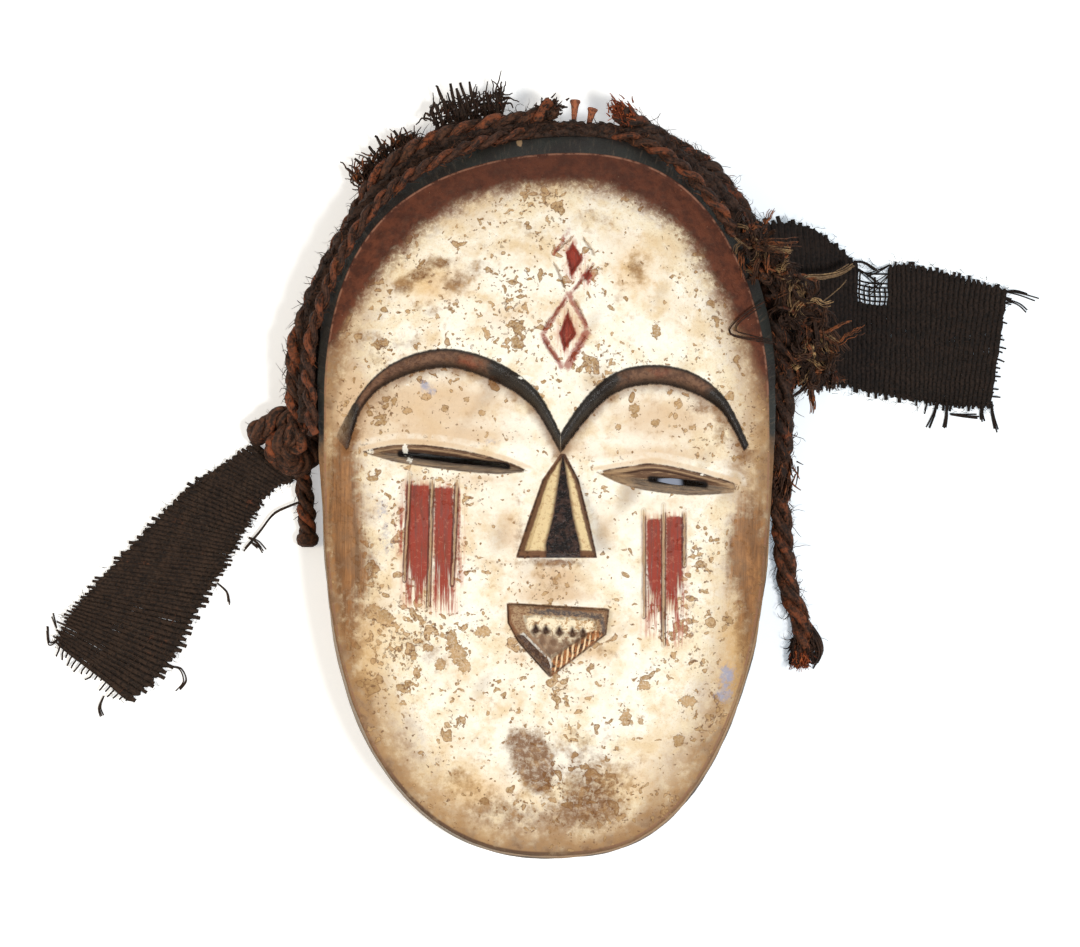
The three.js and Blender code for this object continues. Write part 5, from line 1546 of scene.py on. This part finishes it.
def bundle(points, copies, jitter, thickness, seed, steps=26):  # a few long strands side by side
    random = np.random.default_rng(seed)
    paths = evenly(splineThrough(points), steps)
    paths = paths + random.normal(0, jitter, (copies, 1, 3)) * np.linspace(0.5, 1.3, steps)[:, None]
    paths = paths + 0.3 * random.normal(0, 1, (copies, 1, 3)) * np.sin(np.linspace(0, 9, steps))[:, None]
    radius = np.ones((copies, steps)) * random.uniform(*thickness, (copies, 1))
    return {"paths": paths, "wide": radius, "high": radius, "sides": 5,
            "tone": random.uniform(0.3, 1, copies)}


def makeTuft():
    addBars("fibre_tuft_loose", [tangle(130, (0.3, 0.6), (7, 22), 61)], looseFibre, "fibre_tuft")
    addBars("fibre_tuft_dark", [tangle(190, (0.35, 0.75), (5, 17), 71)], darkFibre)
    addBars("fibre_tuft_pale", [tangle(40, (0.18, 0.34), (8, 20), 73)], paleFibre)
    reaching = [bundle(tuft["reaching"], 9, 0.6, (0.25, 0.45), 62),
                bundle(tuft["arc"], 2, 0.3, (0.2, 0.3), 63)]
    addBars("reaching_fibres", reaching, paleFibre)
    loops = [bundle(tuft["loops"][0], 2, 0.3, (0.26, 0.36), 64),
             bundle(tuft["loops"][1], 1, 0.2, (0.28, 0.32), 65)]
    addBars("looped_fibres", loops, darkFibre)
    print("tuft done")


makeTuft()

# The cloth: every thread is a bar. Cross threads lie close together and show as ribs; lengthwise ones run
# under and over them
weaveSizes = {
    "crossPitch": 2.2, "longPitch": 2.2, "crossCover": 0.54, "crossHigh": 0.42, "longWide": 0.42,
    "longHigh": 0.26, "crossWave": 0.12, "longWave": 0.44, "lift": 1.1,
}
w = weaveSizes


def strip(upper, lower):  # a surface: lower(s) + (upper(s) - lower(s)) t, with s in mm along its middle
    upper, lower = splineThrough(upper, 24), splineThrough(lower, 24)
    travelled = travelledOn((upper + lower) / 2)

    def place(s, t):
        high = np.stack([np.interp(s, travelled, upper[:, k]) for k in range(3)], -1)
        low = np.stack([np.interp(s, travelled, lower[:, k]) for k in range(3)], -1)
        return low + (high - low) * np.asarray(t)[..., None]
    return place, travelled[-1], np.linalg.norm(upper - lower, axis=1).mean()


def foldHeight(paths, folds, seed):  # slow waves of the whole cloth
    return folds * (1 + waves(paths[..., 0], paths[..., 1], (61, 43, 29), seed + 1)) * 0.7


def crossThreads(random, place, length, width, seed, fringe, folds, longPitch, cutHigh, worn):
    # Height of thread i over the strip: lift - wave cos(pi t / long pitch) (-1)^i, and the folds. It is
    # wider where the cloth slopes, and thin beyond its edges or where it is worn
    count = int(length / w["crossPitch"])
    i = np.arange(count)[:, None]
    s = (i + 0.5) * w["crossPitch"]
    low = -random.uniform(*fringe, (count, 1))
    high = width + random.uniform(*fringe, (count, 1))
    if cutHigh is not None:
        high = np.minimum(high, cutHigh(s) * width + random.uniform(-1, 2.5, (count, 1)))
    t = mix(low, high, np.linspace(0, 1, int(width / 0.75)))
    inside = smooth((t + 0.6) / 1.2) * smooth((width + 0.6 - t) / 1.2)
    slack = 0.16 * waves(t, s + t * 0, (17, 11, 7), seed) + (1 - inside) * random.normal(0, 0.5, (count, 1))
    paths = place(s + slack, t / width)
    lift = w["lift"] - w["crossWave"] * np.cos(np.pi * t / longPitch) * (-1.0) ** i * inside
    paths[..., 2] += lift + foldHeight(paths, folds, seed)
    uneven = 1 + 0.1 * waves(t, s * 3 + t * 0, (13, 8, 5), seed + 2)
    step = place(s + w["crossPitch"] / 2, t / width) - place(s - w["crossPitch"] / 2, t / width)
    spacing = (step**2).sum(-1) / np.linalg.norm(step[..., :2], axis=-1)
    if worn is not None:
        uneven = uneven * worn(s, t / width)
    return {"paths": paths, "wide": w["crossCover"] * spacing * uneven * mix(0.55, 1, inside),
            "high": w["crossHigh"] * uneven * mix(1.25, 1, inside), "sides": 6,
            "tone": random.uniform(0, 1, count)}


def longThreads(random, place, length, width, seed, folds, ends, longPitch, keepLong):
    # Height of thread j over the strip: lift + wave cos(pi s / cross pitch - pi / 2) (-1)^j, and the folds.
    # Past the cloth's end it goes on, a little to one side, and not through the floor
    rows = int(width / longPitch)
    j = np.arange(rows)[:, None]
    t = (j + 0.5) * width / rows
    start = -random.uniform(0, 1, (rows, 1)) * ends[0]
    far = length + random.uniform(-0.5, 1, (rows, 1)) * ends[1]
    s = mix(start, far, np.linspace(0, 1, int(length / 0.62)))
    slack = 0.2 * waves(s, t + s * 0, (23, 13, 9), seed + 3)
    paths = place(s, (t + slack) / width)
    wave = w["longWave"] * np.cos(np.pi * s / w["crossPitch"] - np.pi / 2) * (-1.0) ** j
    paths[..., 2] += w["lift"] + wave + foldHeight(paths, folds, seed)
    tail = np.clip(s - length, 0, None)
    last = np.full((rows, 1), length)
    direction = unit(place(last, t / width) - place(last - 2, t / width))
    aside = random.normal(0, 0.12, (rows, 1, 3)) * (tail**1.3)[..., None]
    paths = paths + direction * tail[..., None] + aside
    paths[..., 2] = np.maximum(paths[..., 2], 0.35)
    kept = np.arange(rows) if keepLong is None else np.flatnonzero(keepLong(t[:, 0] / width))
    return {"paths": paths[kept], "wide": w["longWide"], "high": w["longHigh"], "sides": 5,
            "tone": random.uniform(0, 1, len(kept))}


def weaveBars(place, length, width, seed, fringe=(0.6, 3.0), folds=0.9, ends=(0.0, 3.0),
              longPitch=w["longPitch"], cutHigh=None, worn=None, keepLong=None):
    random = np.random.default_rng(seed)
    return [crossThreads(random, place, length, width, seed, fringe, folds, longPitch, cutHigh, worn),
            longThreads(random, place, length, width, seed, folds, ends, longPitch, keepLong)]


def looseThreads(lines, radius, seed, copies=1, jitter=0.4, steps=16):  # threads that hang off an edge
    random = np.random.default_rng(seed)
    made = []
    for points in lines:
        aside = random.normal(0, jitter, (copies, 1, 3)) * np.linspace(0.3, 1.6, steps)[:, None] * (1, 1, 0.3)
        paths = evenly(splineThrough(points), steps) + aside
        paths[..., 2] = np.maximum(paths[..., 2], radius + 0.05)
        made.append(likeBars(paths, radius, 5, random.uniform(0, 1, copies)))
    return made


def edgeFuzz(place, length, count, seed):  # short fibres along both long edges and over the face
    random = np.random.default_rng(seed)
    s = random.uniform(0, length, count)
    t = np.where(random.uniform(0, 1, count) < 0.5, random.normal(0, 0.03, count),
                 random.normal(1, 0.03, count))
    t = np.where(random.uniform(0, 1, count) < 0.35, random.uniform(0, 1, count), t)
    roots = place(s, t) + (0, 0, 1.5)
    aims = random.normal(0, 1, (count, 3)) * (1, 1, 0.35) + (0, 0, 0.25)
    return fibres(roots, unit(aims), random.uniform(1.5, 5, count), (0.07, 0.15), seed + 1, 5, 0.5,
                  floor=0.25)


clothPieces = {
    "leftUpper": [(-129, -22, 0), (-144.5, -33, 0), (-158, -41.7, 0.3), (-175.6, -59.8, 0.8),
                  (-188.9, -73.9, 0.3), (-202.1, -88.1, 0), (-212.5, -100.5, 0.6), (-217, -113, 1.6)],
    "leftLower": [(-110.6, -37.4, 0), (-122.5, -43.5, 0), (-130, -54, 0.6), (-138.1, -67.3, 0.3),
                  (-145, -79, 0), (-156, -97, 0.3), (-167.7, -119.4, 0.6), (-186.7, -138, 1.2)],
    "rightUpper": [(76, 70, 13), (84, 73, 12.2), (94, 74, 11), (111, 73, 7.5), (122, 67.5, 4.5),
                   (133, 58.5, 2), (141, 55.5, 1), (150, 55.2, 0.6), (160, 56, 0.2), (181, 51, 0),
                   (203.5, 44.5, 1.2)],
    "rightLower": [(98, 5, 13), (101, 4, 12.6), (109.6, 3.3, 11), (117, 3.3, 7), (124, 3.3, 4),
                   (133, 3.1, 1.6), (140, 1, 0.6), (148, -0.8, 0), (160, -2.6, 0), (176, -5.5, 0),
                   (196, -6.5, 0.8)],
    # the torn place: its outline's x, how far down each part is torn, and above what share threads are thin
    "notch": ((134.4, 137.6, 140.4, 147.6, 150.6), (1.02, 0.93, 0.86, 0.84, 0.9)), "thinAbove": 0.7,
    "notchSteps": 400,
}
c = clothPieces

clothThreads = {
    "leftEdges": [[(-132, -64, 2), (-128, -66, 2), (-125, -70, 1)], [(-131, -66, 2), (-127, -69, 1)],
                  [(-146, -84, 2), (-142, -88, 1), (-141, -93, 0.6)], [(-217, -104, 2), (-219, -98, 1)],
                  [(-215, -108, 2), (-220, -111, 1), (-221, -104, 0.6)],
                  [(-196, -134, 2), (-198, -139, 1), (-197, -143, 0.6)],
                  [(-166, -121, 2), (-162, -122, 1), (-160, -127, 0.6), (-163, -131, 0.5)]],
    "leftPair": [[(-107, -47.5, 6), (-114, -50, 5), (-121, -53.5, 4), (-127, -61, 3), (-134, -69, 2.2)]],
    "rightEnd": [[(200, 45, 2.2), (208, 43.5, 1.6), (216, 41, 0.8)],
                 [(200, 44, 2), (207, 44.5, 1.2), (213, 42.6, 0.6)],
                 [(200, 42, 2), (208, 39.6, 1), (212, 36.5, 0.5)], [(200, 40, 2), (205, 39, 1)]],
    "rightFoot": [[(172, -4, 2), (171, -9, 1.2), (168.5, -15, 0.6)],
                  [(176, -4, 2), (176, -10, 1), (175, -15.5, 0.6)], [(168, -3, 2), (167, -8, 1)],
                  [(196, -4, 2), (196.5, -10, 1), (198, -17, 0.6)],
                  [(193, -4, 2), (192.5, -9, 1), (193.5, -13, 0.6)],
                  [(178, -9.5, 1), (184, -10, 0.8), (190, -10.2, 0.6)]],
    "torn": [[(133, 57.5, 4), (139, 57.6, 3.6), (145, 54, 3)],
             [(136, 55, 3.6), (142, 51, 3.2), (147.5, 46.5, 2.4)],
             [(151, 56.4, 2.6), (146, 54, 3), (141, 52.4, 3)],
             [(150.6, 52, 2.6), (146.6, 48, 2.6), (142, 45, 2)]],
}


def makeLeftCloth():
    place, length, width = strip(c["leftUpper"], c["leftLower"])
    cloth = addBars("left_cloth", weaveBars(place, length, width, 71), wovenFibre,
                    "cloth_strip_left")
    threads = looseThreads(clothThreads["leftEdges"], 0.32, 72, 3)
    pair = looseThreads(clothThreads["leftPair"], 0.42, 74, 2, 0.8)
    fuzz = [edgeFuzz(place, length, 620, 75)]
    fringe = addBars("left_cloth_threads", threads + pair + fuzz, wovenFibre)


def notchShapes(place, length):  # the share of the width that each cross thread reaches, and how thin it is
    along = np.linspace(0, length, c["notchSteps"])
    middle = place(along, np.full(c["notchSteps"], 0.8))[:, 0]
    notchX, notchDepth = c["notch"]

    def cut(s):
        x = np.interp(s, along, middle)
        depth = np.interp(x, notchX, notchDepth) + 0.04 * np.sin(s * 2.1)
        return np.where((x > notchX[0]) & (x < notchX[-1]), depth, 2.0)

    def worn(s, t):
        x = np.interp(s, along, middle)
        return np.where((x > notchX[1]) & (x < notchX[-1]) & (t > c["thinAbove"]), 0.34, 1.0)
    return cut, worn


def makeRightCloth():
    place, length, width = strip(c["rightUpper"], c["rightLower"])
    cut, worn = notchShapes(place, length)
    strips = weaveBars(place, length, width, 81, folds=0.7, cutHigh=cut, worn=worn,
                       keepLong=lambda t: (t < 0.9) | (np.sin(t * 400) > 0.6))
    cloth = addBars("right_cloth", strips, blackFibre, "cloth_strip_right")
    threads = looseThreads(clothThreads["rightEnd"], 0.34, 82, 2)
    hanging = looseThreads(clothThreads["rightFoot"], 0.36, 83, 4, 0.5)
    torn = looseThreads(clothThreads["torn"], 0.26, 85, 4, 0.6)
    fuzz = [edgeFuzz(place, length, 900, 84)]
    fringe = addBars("right_cloth_threads", threads + hanging + torn + fuzz, blackFibre)


makeLeftCloth()
makeRightCloth()

# Frayed scraps of the same cloth behind the left rope: [degrees, reach beyond the collar] of their edges
scraps = {
    "upright": {"edge": [(101, 18), (103, 25), (105, 21), (107, 33), (109, 26), (111, 34), (112.6, 27),
                         (115, 20)],
                "node": "cloth_scrap_upright", "seed": 91, "rows": 0.7, "fibres": 420, "longest": 12,
                "finish": darkFibre},
    "frayed": {"edge": [(120, 15), (122.5, 21), (124.5, 18), (127, 25), (129, 20), (131.5, 17), (134, 9)],
               "node": "cloth_scrap_frayed", "seed": 95, "rows": 0.6, "fibres": 520, "longest": 11,
               "finish": looseFibre},
}
scrapRim = {"inner": 1.2, "low": 10.4, "high": 13.2, "floor": 9.8}


def scrapEdge(edge, beyond, height, steps=8):  # a line round the rim, at one distance and height
    degrees = np.linspace(edge[0][0], edge[-1][0], steps)
    points = beside(np.column_stack([degrees, np.full(steps, beyond), np.zeros(steps)]))
    points[:, 2] = height
    return points


def scrapWeave(scrap, place, length, width, reach):  # cut to its uneven edge, where cross threads lean apart
    edge, seed = scrap["edge"], scrap["seed"]
    along = np.linspace(0, length, len(edge))
    shares = np.array([beyond for _, beyond in edge]) / reach
    woven = weaveBars(place, length, width, seed, (0, 0.6), folds=0.5, ends=(1.5, 2.5), longPitch=2.1,
                      cutHigh=lambda s: np.interp(s, along, shares), keepLong=lambda t: t < scrap["rows"])
    paths = woven[0]["paths"]
    lean = np.random.default_rng(seed + 7).normal(0, 1, (len(paths), 1, 3)) * (2.4, 1.2, 0.5)
    woven[0]["paths"] = paths + lean * np.linspace(0, 1, paths.shape[1])[:, None] ** 1.5
    woven[0]["wide"] = woven[0]["wide"] * np.linspace(1.0, 0.45, paths.shape[1])
    return woven


def scrapFibres(scrap, place, length):  # tangled fibres that leave the scrap outwards
    random = np.random.default_rng(scrap["seed"] + 1)
    count = scrap["fibres"]
    s = np.clip(random.uniform(-0.5, length + 0.5, count), 0, length)
    roots = place(s, random.uniform(0.05, 0.7, count)) + (0, 0, 0.8)
    out = unit(place(s, np.ones(count)) - place(s, np.zeros(count)))
    aims = unit(out + (0.2, 0.3, 0) + random.normal(0, 0.5, (count, 3)) * (1, 1, 0.4))
    lengths = mix(3, scrap["longest"], random.uniform(0, 1, count) ** 2)
    return fibres(roots, aims, lengths, (0.3, 0.7), scrap["seed"] + 2, 9, 0.75, floor=scrapRim["floor"],
                  sides=4)


def makeScraps():
    for name, scrap in scraps.items():
        edge = scrap["edge"]
        reach = max(beyond for _, beyond in edge)
        place, length, width = strip(scrapEdge(edge, reach, scrapRim["high"]),
                                     scrapEdge(edge, scrapRim["inner"], scrapRim["low"]))
        woven, loose = scrapWeave(scrap, place, length, width, reach), scrapFibres(scrap, place, length)
        cloth = addBars(name + "_scrap", woven, wovenFibre, scrap["node"])
        fray = addBars(name + "_scrap_fibres", [loose], scrap["finish"])
        flat = (round(width * 0.001, 3), round(length * 0.001 + 0.004, 3))
        print(name, "scrap woven:", flat)


makeScraps()

# Nails: the outline of the shaft and of its flat head. The first radius is the driven end's
nailOutline = {
    "at": (0, 0.2, 0.45, 0.66, 0.8, 0.9, 0.96, 0.99, 1.0, 1.02, 1.06, 1.075),  # as shares of the reach
    "radius": (0.7, 1.0, 1.02, 1.08, 1.2, 1.4, 1.6, 1.85, 2.15, 2.28, 2.3, 2.2, 1.5), "steps": 60,
}


def rustMaterial():
    material, tree = newMaterial("rusty iron")
    place = millimetres(tree)
    broad, fine = noise(place, 1.6, 4, 0.65), noise(place, 0.4, 3, 0.7)
    colour = blend(between(broad, 0.4, 0.62), srgb(96, 56, 42), srgb(166, 98, 66))
    colour = blend(between(fine, 0.5, 0.7, 0, 0.6), colour, srgb(196, 128, 88))
    powder = useGroup(tree, dust, {"Size": 3.0, "Amount": 0.3})
    colour = blend(powder["Mask"], colour, dustColour)
    surface(tree, colour, between(broad, 0.3, 0.7, 0.62, 0.85), 0.3, Normal=bumped(fine, Distance=0.0003))
    return material


def finely(values):
    steps = np.linspace(0, 1, nailOutline["steps"])
    return np.interp(steps, np.linspace(0, 1, len(values)), values)


def makeNails():
    rust = rustMaterial()
    for number, place in enumerate(nails["places"], 1):
        foot, out = nailLine(place)
        at = finely([-nails["driven"], *np.array(nailOutline["at"]) * place[1]])
        radius = finely(nailOutline["radius"])
        uneven = radius * (1 + 0.03 * waver(at * 6, (5, 3, 2), number))
        bar = {"paths": (foot + out * at[:, None])[None], "wide": uneven[None], "high": uneven[None] * 0.97,
               "sides": 28}
        nail = addBars(f"nail_rusty_{number}", [bar], rust, f"nail_{number}")
        nail.data.set_sharp_from_angle(angle=np.radians(40))
    print("nails done")


makeNails()

# Floor and light
studio = {
    "floor": (244, 244, 242), "floorHalf": 8, "world": (0.94, 0.97, 1.0), "worldStrength": 0.42,
    # name: place, disk's size, watts, colour; both look at the middle of the mask
    "lamps": {"key_light": ((0.52, -0.22, 1.5), 0.28, 15.5, (0.97, 0.985, 1.0)),
              "side_light": ((-0.95, -0.1, 1.2), 0.5, 8.0, (1.0, 0.84, 0.62))},
    # the floor's own glow, a painted light: in general, at the right, far off and where seen through the
    # right eye's slit
    "glow": (0.36, 0.365, 0.37), "rightGlow": (0.25, 0.3, 0.345), "farGlow": (0.64, 0.63, 0.62),
    "slitGlow": (0.28, 0.31, 0.38), "slit": (60.8, -3.6),  # where the floor is seen through the right eye
}


def square(value):
    return calc("POWER", calc("ABSOLUTE", value), 2.0)


def floorMaterial():
    # The floor glows, a painted light that lifts the shadows on it: less and bluish at the right, for a
    # painted blue shade, brighter far off, and none under the mask, where (x / 88)^2 + (y / 138)^2 < 1,
    # except where the right eye's slit lets the floor be seen, which glows again
    material, tree = newMaterial("plain pale floor")
    place = millimetres(tree)
    patchy = between(noise(place, 60, 2), 0.3, 0.7, 0, 0.25)
    colour = blend(patchy, srgb(*studio["floor"]), srgb(238, 239, 241))
    axes = node(tree, "SeparateXYZ", {0: place}).outputs[:2]
    out = plus(square(calc("DIVIDE", axes[0], 88)), square(calc("DIVIDE", axes[1], 138)))
    away = node(tree, "VectorMath", {0: place}, operation="LENGTH").outputs[1]
    seen = plus(*(square(times(minus(axis, at), 0.2)) for axis, at in zip(axes, studio["slit"])))
    glow = blend(between(axes[0], 60, 100), (*studio["glow"], 1), (*studio["rightGlow"], 1))
    glow = blend(between(out, 0.8, 1.1), (0, 0, 0, 1), glow)
    glow = blend(between(away, 500, 1400), glow, (*studio["farGlow"], 1))
    glow = blend(between(seen, 1.6, 0.4), glow, (*studio["slitGlow"], 1))
    surface(tree, colour, 0.95, 0.1, **{"Emission Strength": 1.0, "Emission Color": glow})
    return material


def makeFloor():
    half = studio["floorHalf"]
    corners = np.array([[-half, -half, 0], [half, -half, 0], [half, half, 0], [-half, half, 0]])
    addMesh("floor", corners, [[0, 1, 2, 3]], [floorMaterial()])


def makeLights():
    scene = bpy.context.scene
    for name, (place, size, watts, colour) in studio["lamps"].items():
        lamp = bpy.data.objects.new(name, bpy.data.lights.new(name, "AREA"))
        lamp.data.shape, lamp.data.size, lamp.data.energy, lamp.data.color = "DISK", size, watts, colour
        lamp.location = place
        lamp.rotation_euler = (-Vector(place)).to_track_quat("-Z", "Y").to_euler()
        scene.collection.objects.link(lamp)
    world = bpy.data.worlds.new("studio")
    world.use_nodes = True
    background = world.node_tree.nodes["Background"].inputs
    background["Color"].default_value = (*studio["world"], 1)
    background["Strength"].default_value = studio["worldStrength"]
    scene.world = world
    scene.view_settings.view_transform = "Standard"
    print("floor and lights set")


makeFloor()
makeLights()
